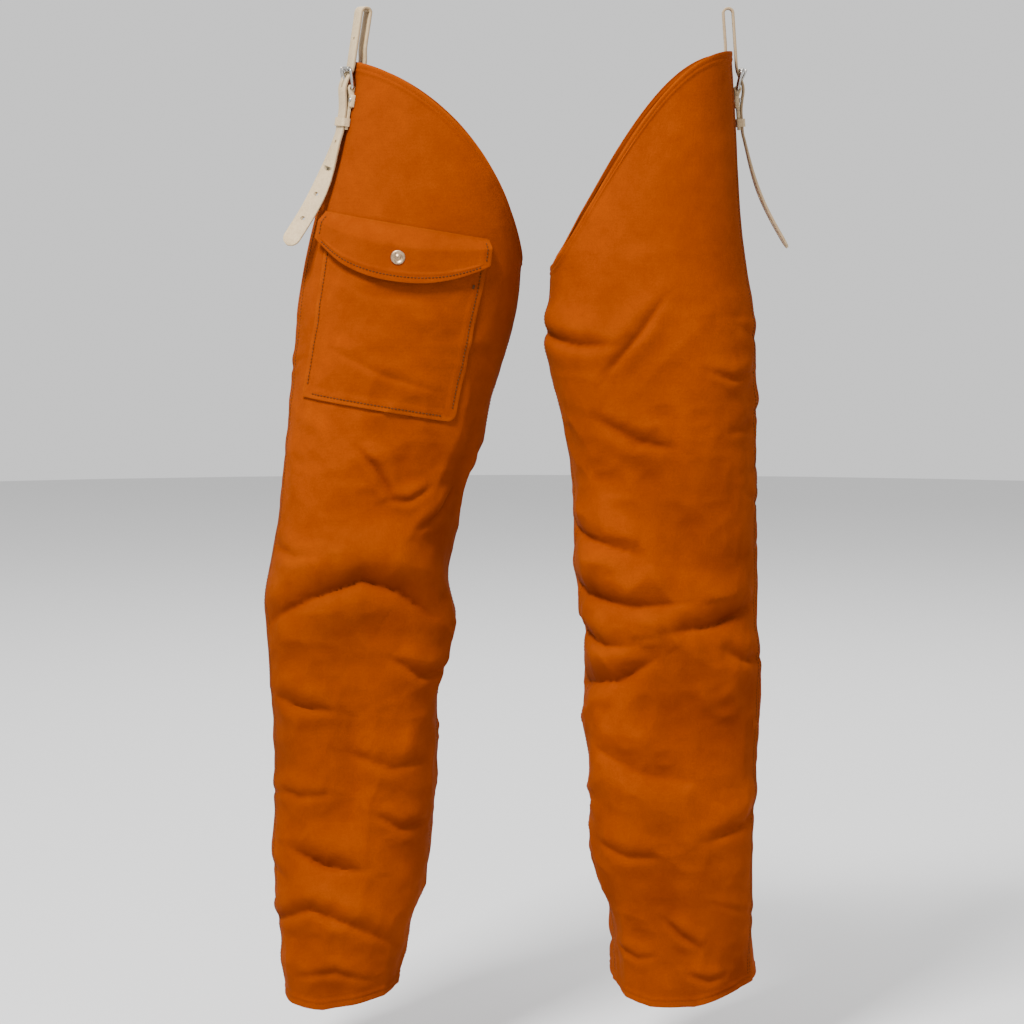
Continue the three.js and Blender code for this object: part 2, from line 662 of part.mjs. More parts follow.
function snapPieces() {
  const face = FLAP_HEIGHT + CANVAS + GAP;
  const capRim = face + 0.9;
  const cap = lathe([
    [0, FLAP_HEIGHT - 0.1], [1.5, FLAP_HEIGHT - 0.1], [1.5, face], [SNAP_CAP_R, face],
    [SNAP_CAP_R, capRim], [SNAP_CAP_R - 1.5, face + 1.9], [SNAP_CAP_R - 4, face + 2.5], [0, face + 2.7],
  ]);
  const socketTop = FLAP_HEIGHT - GAP;
  const socketFoot = socketTop - 1.9;
  const socket = lathe([
    [2.4, socketTop], [5.4, socketTop], [5.4, socketFoot + 0.5], [4.9, socketFoot],
    [3, socketFoot], [3, socketTop - 0.4], [2.4, socketTop],
  ]);
  const studFoot = POCKET_HEIGHT + GAP;
  const stud = lathe([
    [1.5, studFoot], [4.8, studFoot], [4.8, studFoot + 0.6], [2.1, studFoot + 0.7],
    [2.1, socketTop - 0.8], [1.5, socketTop - 0.8], [1.5, studFoot],
  ]);
  const postHead = POCKET_HEIGHT - CANVAS - GAP;
  const post = lathe([
    [0, postHead - 1], [4.6, postHead - 1], [4.6, postHead], [1.2, postHead],
    [1.2, studFoot + 1], [0, studFoot + 1],
  ]);
  return { cap, socket, stud, post };
}

function angleAt(leg, x, z) {
  let [low, high] = [20, 160];
  for (let i = 0; i < 30; i += 1) {
    const middle = (low + high) / 2;
    if (leg.side * legPoint(leg, middle, z).x > leg.side * x) low = middle;
    else high = middle;
  }
  return (low + high) / 2;
}

function makePocket(leg) {
  const group = new THREE.Group();
  const snapFrame = seatFrame(leg, angleAt(leg, SNAP[0], SNAP[1]), SNAP[1]);
  const hinge = new THREE.Group();
  const seamFace = legPoint(leg, angleAt(leg, FLAP_TOP[0], FLAP_TOP[1]), FLAP_TOP[1]);
  hinge.position.copy(seamFace).add(new THREE.Vector3(0, -GAP, 0));
  hinge.rotation.y = rad(POCKET_TILT);
  hinge.updateMatrixWorld();
  const back = hinge.matrixWorld.clone().invert();
  const snap = snapPieces();
  const onFlap = (name, geometry, material, frame) => {
    const placed = frame ? geometry.applyMatrix4(frame) : geometry;
    hinge.add(named(name, placed.applyMatrix4(back), material));
  };
  onFlap('right_pocket_flap', flapPiece(leg, snapFrame), canvasMaterial());
  onFlap('right_pocket_snap_cap', snap.cap, nickelMaterial(), snapFrame);
  onFlap('right_pocket_snap_socket', snap.socket, nickelMaterial(), snapFrame);
  group.add(
    hinge,
    named('right_pocket', pocketPiece(leg, snapFrame), canvasMaterial()),
    named('right_pocket_snap_stud', snap.stud.applyMatrix4(snapFrame), nickelMaterial()),
    named('right_pocket_snap_post', snap.post.applyMatrix4(snapFrame), nickelMaterial()),
  );
  return group;
}

// ---- Assembly --------------------------------------------------------------------------------
const chaps = new THREE.Group();
for (const [name, leg] of Object.entries(LEGS)) {
  chaps.add(makeLegging(name, leg), makeStrap(name, leg));
}
chaps.add(makePocket(LEGS.right));

export default chaps;
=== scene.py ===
"""Chainsaw chaps: two canvas leggings, each hung from a belt by a buckled leather strap.

Everything is in metres in the CAD frame: +X is the wearer's left, -Y the front, +Z up, and the
origin is the middle of the belt line.
"""
import json
import math

import bmesh
import bpy
import numpy as np
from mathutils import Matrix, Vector


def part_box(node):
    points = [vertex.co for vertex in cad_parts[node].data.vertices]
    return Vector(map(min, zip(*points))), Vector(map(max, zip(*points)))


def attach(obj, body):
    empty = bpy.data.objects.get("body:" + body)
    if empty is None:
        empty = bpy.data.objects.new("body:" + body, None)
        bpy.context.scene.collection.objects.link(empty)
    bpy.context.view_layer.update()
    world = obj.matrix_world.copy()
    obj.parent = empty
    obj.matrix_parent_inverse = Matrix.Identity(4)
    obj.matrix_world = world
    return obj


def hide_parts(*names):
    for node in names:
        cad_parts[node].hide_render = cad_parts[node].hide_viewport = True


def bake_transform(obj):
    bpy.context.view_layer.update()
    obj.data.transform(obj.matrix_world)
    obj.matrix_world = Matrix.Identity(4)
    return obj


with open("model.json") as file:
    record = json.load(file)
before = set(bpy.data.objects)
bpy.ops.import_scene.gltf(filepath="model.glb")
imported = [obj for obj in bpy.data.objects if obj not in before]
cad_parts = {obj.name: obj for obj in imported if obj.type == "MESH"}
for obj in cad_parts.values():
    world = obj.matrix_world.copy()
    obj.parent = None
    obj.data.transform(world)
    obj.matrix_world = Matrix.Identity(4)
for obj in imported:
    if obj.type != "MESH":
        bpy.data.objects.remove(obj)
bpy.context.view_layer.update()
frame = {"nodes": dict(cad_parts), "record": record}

MM = 0.001

# ---- Driving dimensions, in millimetres -------------------------------------------------------
HEM_Z = -955
SECTION_POWER = 2.8
CLOTH = 1.5
OUTER_SEAM = 24  # degrees from a leg's outer side, over its front
INNER_SEAM = 168
LAP = 9  # degrees that a back panel runs on under a front panel
EDGE = 8  # turned edge
SHARP = 55  # degrees between faces that shade as a sharp edge
MEAN_RADIUS = 92  # of a leg, which turns degrees into lengths along a sheet
WRAP_RADIUS = 90  # of a leg, round which its fold lines repeat
EDGE_SPAN = 9  # degrees at each side of a sheet that hold its closer columns
EDGE_SQUEEZE = 0.62
LAP_LIFT = 1.9  # a front panel lies this far over a back panel
PAD_TOP = -135
PAD_FOOT = 45  # from the hem
PAD_DROP = 28  # from the top edge
PAD_INSET = 12  # degrees from the seams
LINING_PROUD = 6  # degrees past the pad
LINING_LONGER = 10
CUT_AREA = 0.98  # a sheet's flat area over its modelled area: chosen, not measured
HEM_HEIGHT = 85  # of the hems over the floor
FLOOR_RADIUS = 6.0  # metres

# Rows of height, outer edge and inner edge, measured outwards from the wearer's middle.
LEGS = {
    "right": {
        "side": -1,
        "top": -30,
        "drop": 202,
        "edges": [
            (-24, 186, 21), (-104, 200, 21), (-184, 224, 21), (-264, 240, 26), (-304, 243, 36),
            (-384, 250, 56), (-464, 260, 78), (-544, 271, 93), (-584, 272, 91), (-664, 270, 102),
            (-744, 268, 107), (-824, 268, 114), (-904, 261, 134), (-955, 255, 143),
        ],
    },
    "left": {
        "side": 1,
        "top": -20,
        "drop": 210,
        "edges": [
            (-20, 185, 12), (-104, 191, 12), (-184, 197, 12), (-264, 207, 11), (-304, 211, 9),
            (-384, 212, 24), (-464, 212, 37), (-544, 215, 41), (-584, 214, 50), (-634, 221, 49),
            (-684, 220, 43), (-744, 217, 50), (-824, 212, 54), (-904, 212, 74), (-955, 215, 78),
        ],
    },
}
HALF_DEPTHS = [
    (-20, 96), (-224, 100), (-304, 101), (-464, 93), (-560, 88), (-744, 80), (-904, 70), (-955, 66),
]

# Fold lines on the fronts: points across and up, depth and half-width. Each line is a crease, and
# the cloth bulges over it.
FOLDS = {
    "right": [
        ([(-266, -584), (-222, -552), (-176, -534), (-140, -546), (-108, -574)], 11, 17),
        ([(-262, -652), (-235, -662), (-205, -664)], 6, 12),
        ([(-246, -806), (-214, -822), (-176, -826)], 7, 13),
        ([(-263, -896), (-226, -866), (-190, -880), (-151, -901)], 6, 12),
        ([(-181, -402), (-162, -424), (-146, -454)], 4.5, 9),
        ([(-150, -456), (-128, -456), (-108, -442)], 4, 9),
        ([(-122, -486), (-100, -470), (-84, -444)], 4.5, 10),
        ([(-262, -500), (-236, -512), (-210, -508)], 4, 12),
        ([(-150, -610), (-120, -632), (-98, -628)], 5, 12),
        ([(-190, -706), (-150, -722), (-112, -716)], 4, 16),
        ([(-262, -742), (-236, -752), (-206, -748)], 3.5, 12),
        ([(-168, -768), (-140, -784), (-114, -780)], 4, 12),
        ([(-240, -936), (-205, -930), (-168, -940)], 3, 9),
    ],
    "left": [
        ([(6, -292), (38, -306), (74, -304)], 6.5, 12),
        ([(118, -258), (96, -292), (66, -330)], 4.5, 13),
        ([(158, -328), (182, -338), (206, -330)], 4.5, 9),
        ([(54, -376), (92, -398), (128, -404)], 5.5, 13),
        ([(36, -486), (62, -500), (94, -510)], 7, 13),
        ([(40, -544), (92, -562), (142, -556)], 9, 15),
        ([(124, -586), (168, -580), (210, -560)], 8, 14),
        ([(48, -588), (68, -602), (90, -600)], 7, 11),
        ([(46, -648), (78, -636), (112, -612)], 7, 14),
        ([(180, -604), (198, -616), (218, -618)], 6, 11),
        ([(52, -700), (98, -728), (158, -736)], 6, 26),
        ([(160, -798), (190, -786), (218, -760)], 6, 13),
        ([(122, -876), (138, -892), (158, -906)], 4.5, 10),
        ([(144, -932), (166, -940), (186, -934)], 3.5, 9),
        ([(60, -800), (88, -814), (116, -812)], 4, 14),
        ([(80, -906), (98, -918), (116, -914)], 3.5, 9),
    ],
}
# Height of each hem at angles round the leg.
HEMS = {
    "right": [(-90, -956), (0, -957), (40, -964), (75, -968), (120, -957), (160, -950), (200, -949)],
    "left": [(-90, -953), (0, -944), (40, -950), (85, -965), (120, -965), (160, -950), (200, -947)],
}
RANDOM_FOLDS = 26  # more of them on each leg's sides and back

CANVAS_COLOUR = (0.245, 0.0385, 0.0008)
# CANVAS_DARK also colours the painted shade in the folds, as well as the mottle and grain.
CANVAS_DARK = (0.085, 0.0080, 0.0003)
CANVAS_WORN = (0.33, 0.066, 0.002)
THREAD = (0.045, 0.018, 0.008)
LEATHER = (0.50, 0.375, 0.215)
LEATHER_EDGE = (0.22, 0.14, 0.075)


# ---- Numbers on a leg -------------------------------------------------------------------------
def smooth_rows(rows, z, column):
    """A smooth curve through rows of height and values, read at each height."""
    table = np.array(rows, float)[::-1]
    height, value = table[:, 0], table[:, column]
    slope = np.gradient(value, height)
    i = np.clip(np.searchsorted(height, z) - 1, 0, len(height) - 2)
    span = height[i + 1] - height[i]
    t = np.clip((z - height[i]) / span, 0, 1)
    a = (2 * t**3 - 3 * t**2 + 1) * value[i] + (t**3 - 2 * t**2 + t) * span * slope[i]
    b = (-2 * t**3 + 3 * t**2) * value[i + 1] + (t**3 - t**2) * span * slope[i + 1]
    return a + b


def smoothstep(low, high, value):
    t = np.clip((value - low) / (high - low), 0, 1)
    return t * t * (3 - 2 * t)


def section(leg, z):
    outer, inner = smooth_rows(leg["edges"], z, 1), smooth_rows(leg["edges"], z, 2)
    depth = smooth_rows(HALF_DEPTHS, z, 1)
    return leg["side"] * (outer + inner) / 2, (outer - inner) / 2, depth


def bare_point(leg, angle, z, offset):
    """Points of a leg's section, without folds, in millimetres."""
    centre, half, depth = section(leg, z)
    c, s = np.cos(np.radians(angle)), np.sin(np.radians(angle))
    a, b = half + offset, depth + offset
    p = SECTION_POWER
    r = (np.abs(c / a) ** p + np.abs(s / b) ** p) ** (-1 / p)
    return np.stack([centre + leg["side"] * r * c, -r * s, z + 0 * r], -1)


def angle_of(leg, x, z):
    """The angle of the front point at a place across and up."""
    low, high = np.full(np.shape(x), 1.0), np.full(np.shape(x), 179.0)
    for _ in range(30):
        middle = (low + high) / 2
        out = leg["side"] * (bare_point(leg, middle, z, 0)[..., 0] - x) > 0
        low, high = np.where(out, middle, low), np.where(out, high, middle)
    return (low + high) / 2


def unrolled(leg, angle, z):
    """Distance round the leg from its front, at even speed in angle."""
    _, half, depth = section(leg, z)
    return np.radians(90 - angle) * (half + depth) / 2


def value_noise(u, v, cells, seed):
    """Smooth seeded noise in two directions, from -1 to 1; the first repeats."""
    wide, tall = cells
    grid = np.random.default_rng(seed).uniform(-1, 1, (wide, tall + 2))
    x, y = np.mod(u, 1) * wide, np.clip(v, 0, 1) * tall
    i, j = np.floor(x).astype(int), np.floor(y).astype(int)
    fx, fy = x - i, y - j
    fx, fy = fx * fx * (3 - 2 * fx), fy * fy * (3 - 2 * fy)
    i0, i1 = i % wide, (i + 1) % wide
    low = grid[i0, j] * (1 - fx) + grid[i1, j] * fx
    high = grid[i0, j + 1] * (1 - fx) + grid[i1, j + 1] * fx
    return low * (1 - fy) + high * fy


def line_distance(points, s, z):
    """Signed distance above a fold line, and how far along it each place lies."""
    best = np.full(s.shape, 1e9)
    above, along = np.zeros(s.shape), np.zeros(s.shape)
    points = np.array(points, float)
    if points[0, 0] > points[-1, 0]:
        points = points[::-1]
    steps = np.linalg.norm(np.diff(points, axis=0), axis=1)
    total, run = steps.sum(), 0.0
    for a, b, length in zip(points[:-1], points[1:], steps):
        d = (b - a) / length
        t = np.clip((s - a[0]) * d[0] + (z - a[1]) * d[1], 0, length)
        dx, dz = s - a[0] - t * d[0], z - a[1] - t * d[1]
        far = np.hypot(dx, dz)
        near = far < best
        best = np.where(near, far, best)
        sign = np.sign(dz * d[0] - dx * d[1])
        above = np.where(near, sign * far, above)
        along = np.where(near, (run + t) / total, along)
        run += length
    return above, along, best


def fold_height(above, along, far, depth, width):
    """A sharp crease on the line: the cloth rolls in above it and springs out again below."""
    fade = np.sin(np.pi * np.clip(along, 0.02, 0.98)) ** 0.6
    broad = width * (1.0 + 0.75 * float(smoothstep(4, 8, depth)))
    wide = broad * (0.6 + 0.4 * fade)
    up, down = np.maximum(above, 0) / wide, np.maximum(-above, 0) / wide
    sharp = 0.45 + 0.55 * float(smoothstep(3, 8, depth))
    over = 1.087 * np.exp(-(((up - 0.95) / 0.95) ** 2)) - 0.9 * np.exp(-up / 0.55)
    under = 0.56 * np.exp(-(((down - 0.45) / 0.85) ** 2)) - 0.9 * np.exp(-down / 0.2)
    shape = np.where(above > 0, over, under + 0.078 * np.exp(-down / 0.2))
    shape = np.where(shape < 0, shape * sharp, shape)
    outside = np.exp(-np.maximum(0, far**2 - above**2) / broad**2)
    return depth * fade * shape * outside


def leg_folds(name):
    """The fold lines of a leg in unrolled places: those of its front, and seeded ones round it."""
    leg = LEGS[name]
    lines = []
    for points, depth, width in FOLDS[name]:
        placed = []
        for x, z in points:
            z = float(z)
            angle = angle_of(leg, np.array(float(x)), np.array(z))
            placed.append((float(unrolled(leg, angle, np.array(z))), z))
        lines.append((placed, depth, width))
    rng = np.random.default_rng(11 if name == "right" else 23)
    for _ in range(RANDOM_FOLDS):
        z = rng.uniform(-920, -250)
        angle = rng.uniform(196, 376) if rng.random() < 0.85 else rng.uniform(-10, 20)
        s = float(unrolled(leg, np.array(angle), np.array(z)))
        length = rng.uniform(28, 70)
        tilt = rng.uniform(-0.5, 0.5)
        sag = rng.uniform(4, 12)
        near_knee = math.exp(-(((z + 590) / 90) ** 2))
        depth = rng.uniform(2.5, 5) + 4.5 * near_knee
        ends = [(s - length, z + tilt * length), (s, z - sag), (s + length, z - tilt * length)]
        lines.append((ends, depth, rng.uniform(9, 15)))
    return lines


FOLD_LINES = {name: leg_folds(name) for name in LEGS}


def folds(name, angle, z):
    """Height of the folds, in millimetres."""
    leg = LEGS[name]
    s = unrolled(leg, angle, z)
    girth = 2 * math.pi * WRAP_RADIUS
    total = np.zeros(np.broadcast(s, z).shape)
    for points, depth, width in FOLD_LINES[name]:
        for turn in (-girth, 0, girth):
            moved = [(x + turn, y) for x, y in points]
            if max(p[0] for p in moved) < s.min() - 60 or min(p[0] for p in moved) > s.max() + 60:
                continue
            total += fold_height(*line_distance(moved, s, z), depth, width)
    round_leg, up = angle / 360, (z - HEM_Z) / 950
    seed = 100 if name == "right" else 200
    drift = 0.06 * value_noise(round_leg, up, (6, 8), seed + 5)
    wide = value_noise(round_leg + drift, up, (7, 10), seed) * 4.4
    creased = np.abs(value_noise(round_leg + 2 * drift, up + drift, (8, 11), seed + 1)) * -5.6 + 1.8
    fine = np.abs(value_noise(round_leg - 2 * drift, up + drift, (15, 24), seed + 2)) * -2.6 + 0.9
    small = np.abs(value_noise(round_leg + 2 * drift, up, (30, 62), seed + 4)) * -0.9 + 0.3
    slack = 0.3 + 0.7 * smoothstep(-170, -430, z)
    seam_side = np.exp(-((np.abs(np.mod(angle + 180, 360) - 180) / 34) ** 2))
    slack *= 1 - 0.75 * seam_side
    total *= 1 - 0.88 * seam_side
    hem_wave = value_noise(round_leg, up, (9, 1), seed + 3) * 6 * smoothstep(-870, -955, z)
    quiet = 1 - smoothstep(-150, -60, z)
    rough = (wide + creased + fine + small) * slack
    return total * quiet + rough * (0.3 + 0.7 * quiet) + hem_wave


def hem_edge(name, angle):
    """Height of the hem, which dips over the front of the boot."""
    table = np.array(HEMS[name], float)
    return np.interp(np.mod(angle + 90, 360) - 90, [*table[:, 0], 270], [*table[:, 1], table[0, 1]])


def top_edge(name, angle):
    """Height of the curved top edge, which falls from the hip to the crotch."""
    leg = LEGS[name]
    z = np.full(np.shape(angle), float(leg["top"]))
    for _ in range(4):
        centre, half, _ = section(leg, z)
        out = leg["side"] * (bare_point(leg, angle, z, 0)[..., 0] - centre) / half
        u = np.clip((1 - out) / 2, 0, 1)
        if name == "right":
            fall = 1 - np.sqrt(np.maximum(0, 1 - u**1.6))
        else:
            fall = 1 - np.cos(math.pi * u / 2)
        z = leg["top"] - leg["drop"] * fall
    return z


def leg_surface(name, angle, z, offset, height=None):
    """Points of a leg with its folds, in metres."""
    leg = LEGS[name]
    if height is None:
        height = folds(name, angle, z)
    point = bare_point(leg, angle, z, 0.0)
    step = bare_point(leg, angle, z, 1.0) - point
    step /= np.linalg.norm(step, axis=-1, keepdims=True)
    return (point + step * (offset + height)[..., None]) * MM


# ---- Meshes -----------------------------------------------------------------------------------
def make_object(name, mesh):
    obj = bpy.data.objects.new(name, mesh)
    bpy.context.scene.collection.objects.link(obj)
    return obj


def shade_smooth(obj):
    obj.data.polygons.foreach_set("use_smooth", [True] * len(obj.data.polygons))
    obj.data.set_sharp_from_angle(angle=math.radians(SHARP))
    obj.data.update()


def grid_object(name, points, cloth_uv=None, values=None):
    """An open grid of quads. values holds named numbers for each point, which materials read."""
    tall, wide, _ = points.shape
    index = np.arange(tall * wide).reshape(tall, wide)
    quads = np.stack([index[:-1, :-1], index[:-1, 1:], index[1:, 1:], index[1:, :-1]], -1)
    quads = quads.reshape(-1, 4)
    mesh = bpy.data.meshes.new(name)
    mesh.from_pydata(points.reshape(-1, 3).tolist(), [], quads.tolist())
    if cloth_uv is not None:
        layer = mesh.uv_layers.new(name="cloth")
        layer.data.foreach_set("uv", cloth_uv.reshape(-1, 2)[quads.reshape(-1)].ravel())
    for key, numbers in (values or {}).items():
        attribute = mesh.attributes.new(key, "FLOAT", "POINT")
        attribute.data.foreach_set("value", numbers.astype(np.float32).ravel())
    mesh.update()
    return make_object(name, mesh)


def face_out(obj, inside):
    """Turns an open sheet's faces away from a point or line of points inside it."""
    mesh = obj.data
    total = 0.0
    for index in range(0, len(mesh.polygons), max(1, len(mesh.polygons) // 400)):
        face = mesh.polygons[index]
        total += face.normal.dot(face.center - inside(face.center))
    if total < 0:
        mesh.flip_normals()


def apply_all(obj):
    """Puts the result of an object's modifiers into its mesh."""
    graph = bpy.context.evaluated_depsgraph_get()
    mesh = bpy.data.meshes.new_from_object(obj.evaluated_get(graph), depsgraph=graph)
    obj.modifiers.clear()
    obj.data = mesh
    shade_smooth(obj)
    return obj


def thicken(obj, thickness):
    solid = obj.modifiers.new("thickness", "SOLIDIFY")
    solid.thickness = thickness * MM
    solid.offset = -1.0
    solid.use_even_offset = False
    solid.use_rim = True
    return apply_all(obj)


def bevelled(obj, width, segments=3, angle=35):
    bevel = obj.modifiers.new("bevel", "BEVEL")
    bevel.width = width * MM
    bevel.segments = segments
    bevel.limit_method = "ANGLE"
    bevel.angle_limit = math.radians(angle)
    bevel.harden_normals = False
    return apply_all(obj)


def cut_with(obj, tools):
    """Cuts closed tools out of a closed object."""
    for tool in tools:
        boolean = obj.modifiers.new("cut", "BOOLEAN")
        boolean.operation = "DIFFERENCE"
        boolean.solver = "EXACT"
        boolean.object = tool
    apply_all(obj)
    for tool in tools:
        bpy.data.objects.remove(tool)
    return obj


def from_bmesh(name, mesh, smooth=True):
    """An object from a closed bmesh, with its faces pointing out."""
    bmesh.ops.recalc_face_normals(mesh, faces=mesh.faces)
    data = bpy.data.meshes.new(name)
    mesh.to_mesh(data)
    mesh.free()
    obj = make_object(name, data)
    if smooth:
        shade_smooth(obj)
    return obj


def circle(radius, sides, a=0.0, b=0.0):
    """Points of a circle round a middle, in two directions."""
    turns = np.linspace(0, 2 * math.pi, sides, False)
    return [(a + radius * math.cos(t), b + radius * math.sin(t)) for t in turns]


def prism(name, outline, low, high, place):
    """A closed solid: an outline in two directions drawn from low to high in the third."""
    mesh = bmesh.new()
    bottom = [mesh.verts.new(place(a, b, low)) for a, b in outline]
    top = [mesh.verts.new(place(a, b, high)) for a, b in outline]
    mesh.faces.new(bottom)
    mesh.faces.new(top[::-1])
    for i in range(len(outline)):
        j = (i + 1) % len(outline)
        mesh.faces.new([bottom[i], top[i], top[j], bottom[j]])
    return from_bmesh(name, mesh, smooth=False)


def turned(name, profile, place, sides=32):
    """A closed solid of revolution from radius and height pairs, on the axis at both ends."""
    mesh = bmesh.new()
    rings = []
    for radius, height in profile:
        if radius < 1e-6:
            rings.append([mesh.verts.new(place(0, 0, height))])
            continue
        turns = [2 * math.pi * k / sides for k in range(sides)]
        rings.append([
            mesh.verts.new(place(radius * math.cos(t), radius * math.sin(t), height)) for t in turns
        ])
    for low, high in zip(rings, rings[1:]):
        for k in range(sides):
            corners = [low[k % len(low)], low[(k + 1) % len(low)]]
            corners += [high[(k + 1) % len(high)], high[k % len(high)]]
            unique = list(dict.fromkeys(corners))
            if len(unique) > 2:
                mesh.faces.new(unique)
    return from_bmesh(name, mesh)


def swept(name, sections, closed=False):
    """A closed solid through sections, each a list of points in space."""
    mesh = bmesh.new()
    rings = [[mesh.verts.new(p) for p in section_points] for section_points in sections]
    count = len(rings[0])
    pairs = list(zip(rings, rings[1:]))
    if closed:
        pairs.append((rings[-1], rings[0]))
    for low, high in pairs:
        for k in range(count):
            mesh.faces.new([low[k], low[(k + 1) % count], high[(k + 1) % count], high[k]])
    if not closed:
        mesh.faces.new(rings[0][::-1])
        mesh.faces.new(rings[-1])
    return from_bmesh(name, mesh)


def smooth_path(points, spacing):
    """Even points along a smooth curve through the given ones."""
    points = np.array(points, float)
    padded = np.vstack([2 * points[0] - points[1], points, 2 * points[-1] - points[-2]])
    dense = []
    for i in range(1, len(padded) - 2):
        p0, p1, p2, p3 = padded[i - 1:i + 3]
        for t in np.linspace(0, 1, 24, endpoint=False):
            dense.append(0.5 * (2 * p1 + (p2 - p0) * t + (2 * p0 - 5 * p1 + 4 * p2 - p3) * t**2
                                + (3 * p1 - p0 - 3 * p2 + p3) * t**3))
    dense.append(points[-1])
    dense = np.array(dense)
    run = np.concatenate([[0], np.cumsum(np.linalg.norm(np.diff(dense, axis=0), axis=1))])
    marks = np.linspace(0, run[-1], max(2, int(round(run[-1] / spacing)) + 1))
    return np.stack([np.interp(marks, run, dense[:, k]) for k in range(dense.shape[1])], -1)


def stitches(name, lines, pitch=3.6, length=2.7, radius=0.55):
    """A row of thread stitches along each line of (points, outward directions), in metres."""
    vertices, faces = [], []
    sides, rings = 5, ((-0.5, 0.35), (-0.3, 0.95), (0.3, 0.95), (0.5, 0.35))
    for points, outs in lines:
        run = np.concatenate([[0], np.cumsum(np.linalg.norm(np.diff(points, axis=0), axis=1))])
        for mark in np.arange(pitch * MM, run[-1] - pitch * MM, pitch * MM):
            at = np.array([np.interp(mark, run, points[:, k]) for k in range(3)])
            ahead = np.array([np.interp(mark + 0.001, run, points[:, k]) for k in range(3)])
            out = np.array([np.interp(mark, run, outs[:, k]) for k in range(3)])
            along = ahead - at
            along /= np.linalg.norm(along) + 1e-12
            out -= along * out.dot(along)
            out /= np.linalg.norm(out) + 1e-12
            across = np.cross(along, out)
            base = len(vertices)
            for place, size in rings:
                for k in range(sides):
                    turn = 2 * math.pi * k / sides
                    spread = (math.cos(turn) * across + math.sin(turn) * out * 0.8)
                    bend = out * (0.12 - 0.9 * (abs(place) > 0.4)) * radius * MM
                    vertices.append(at + along * place * length * MM + bend
                                    + spread * size * radius * MM)
            for ring in range(len(rings) - 1):
                for k in range(sides):
                    a, b = base + ring * sides + k, base + ring * sides + (k + 1) % sides
                    faces.append((a, b, b + sides, a + sides))
            faces.append(tuple(base + k for k in range(sides))[::-1])
            faces.append(tuple(base + (len(rings) - 1) * sides + k for k in range(sides)))
    mesh = bpy.data.meshes.new(name)
    mesh.from_pydata([tuple(v) for v in vertices], [], faces)
    mesh.update()
    obj = make_object(name, mesh)
    shade_smooth(obj)
    return obj


# ---- Materials --------------------------------------------------------------------------------
class Nodes:
    """A material and short ways to add and join its nodes."""

    def __init__(self, name, **sockets):
        self.material = bpy.data.materials.new(name)
        self.material.use_nodes = True
        self.tree = self.material.node_tree
        self.shader = self.tree.nodes["Principled BSDF"]
        self.place = self.add("ShaderNodeTexCoord").outputs["Object"]
        for key, value in sockets.items():
            socket = self.shader.inputs[key.replace("_", " ")]
            socket.default_value = (*value, 1) if isinstance(value, tuple) else value

    def put(self, node, key, value):
        """Joins an output to a node's input, or sets the input's value."""
        if isinstance(value, bpy.types.NodeSocket):
            self.tree.links.new(value, node.inputs[key])
        else:
            node.inputs[key].default_value = value

    def add(self, kind, inputs=None, **settings):
        node = self.tree.nodes.new(kind)
        for key, value in settings.items():
            setattr(node, key, value)
        for key, value in (inputs or {}).items():
            self.put(node, key, value)
        return node

    def join(self, output, key):
        self.tree.links.new(output, self.shader.inputs[key])

    def noise(self, scale, detail=3.0, roughness=0.55, vector=None):
        node = self.add("ShaderNodeTexNoise", {
            "Vector": vector or self.place, "Scale": scale, "Detail": detail,
            "Roughness": roughness,
        })
        return node.outputs["Fac"]

    def ramp(self, value, low, high, dark=(0, 0, 0), light=(1, 1, 1)):
        node = self.add("ShaderNodeValToRGB", {"Fac": value})
        node.color_ramp.elements[0].position = low
        node.color_ramp.elements[1].position = high
        node.color_ramp.elements[0].color = (*dark, 1)
        node.color_ramp.elements[1].color = (*light, 1)
        return node.outputs["Color"]

    def mix(self, factor, a, b, mode="MIX"):
        node = self.add("ShaderNodeMix", data_type="RGBA", blend_type=mode)
        for index, value in ((0, factor), (6, a), (7, b)):
            self.put(node, index, (*value, 1) if isinstance(value, tuple) else value)
        return node.outputs[2]

    def math(self, operation, a, b=0.0):
        node = self.add("ShaderNodeMath", operation=operation)
        for index, value in enumerate((a, b)):
            self.put(node, index, value)
        return node.outputs[0]

    def bump(self, height, distance, strength=1.0, under=None):
        inputs = {"Height": height, "Distance": distance, "Strength": strength}
        if under is not None:
            inputs["Normal"] = under
        return self.add("ShaderNodeBump", inputs).outputs["Normal"]


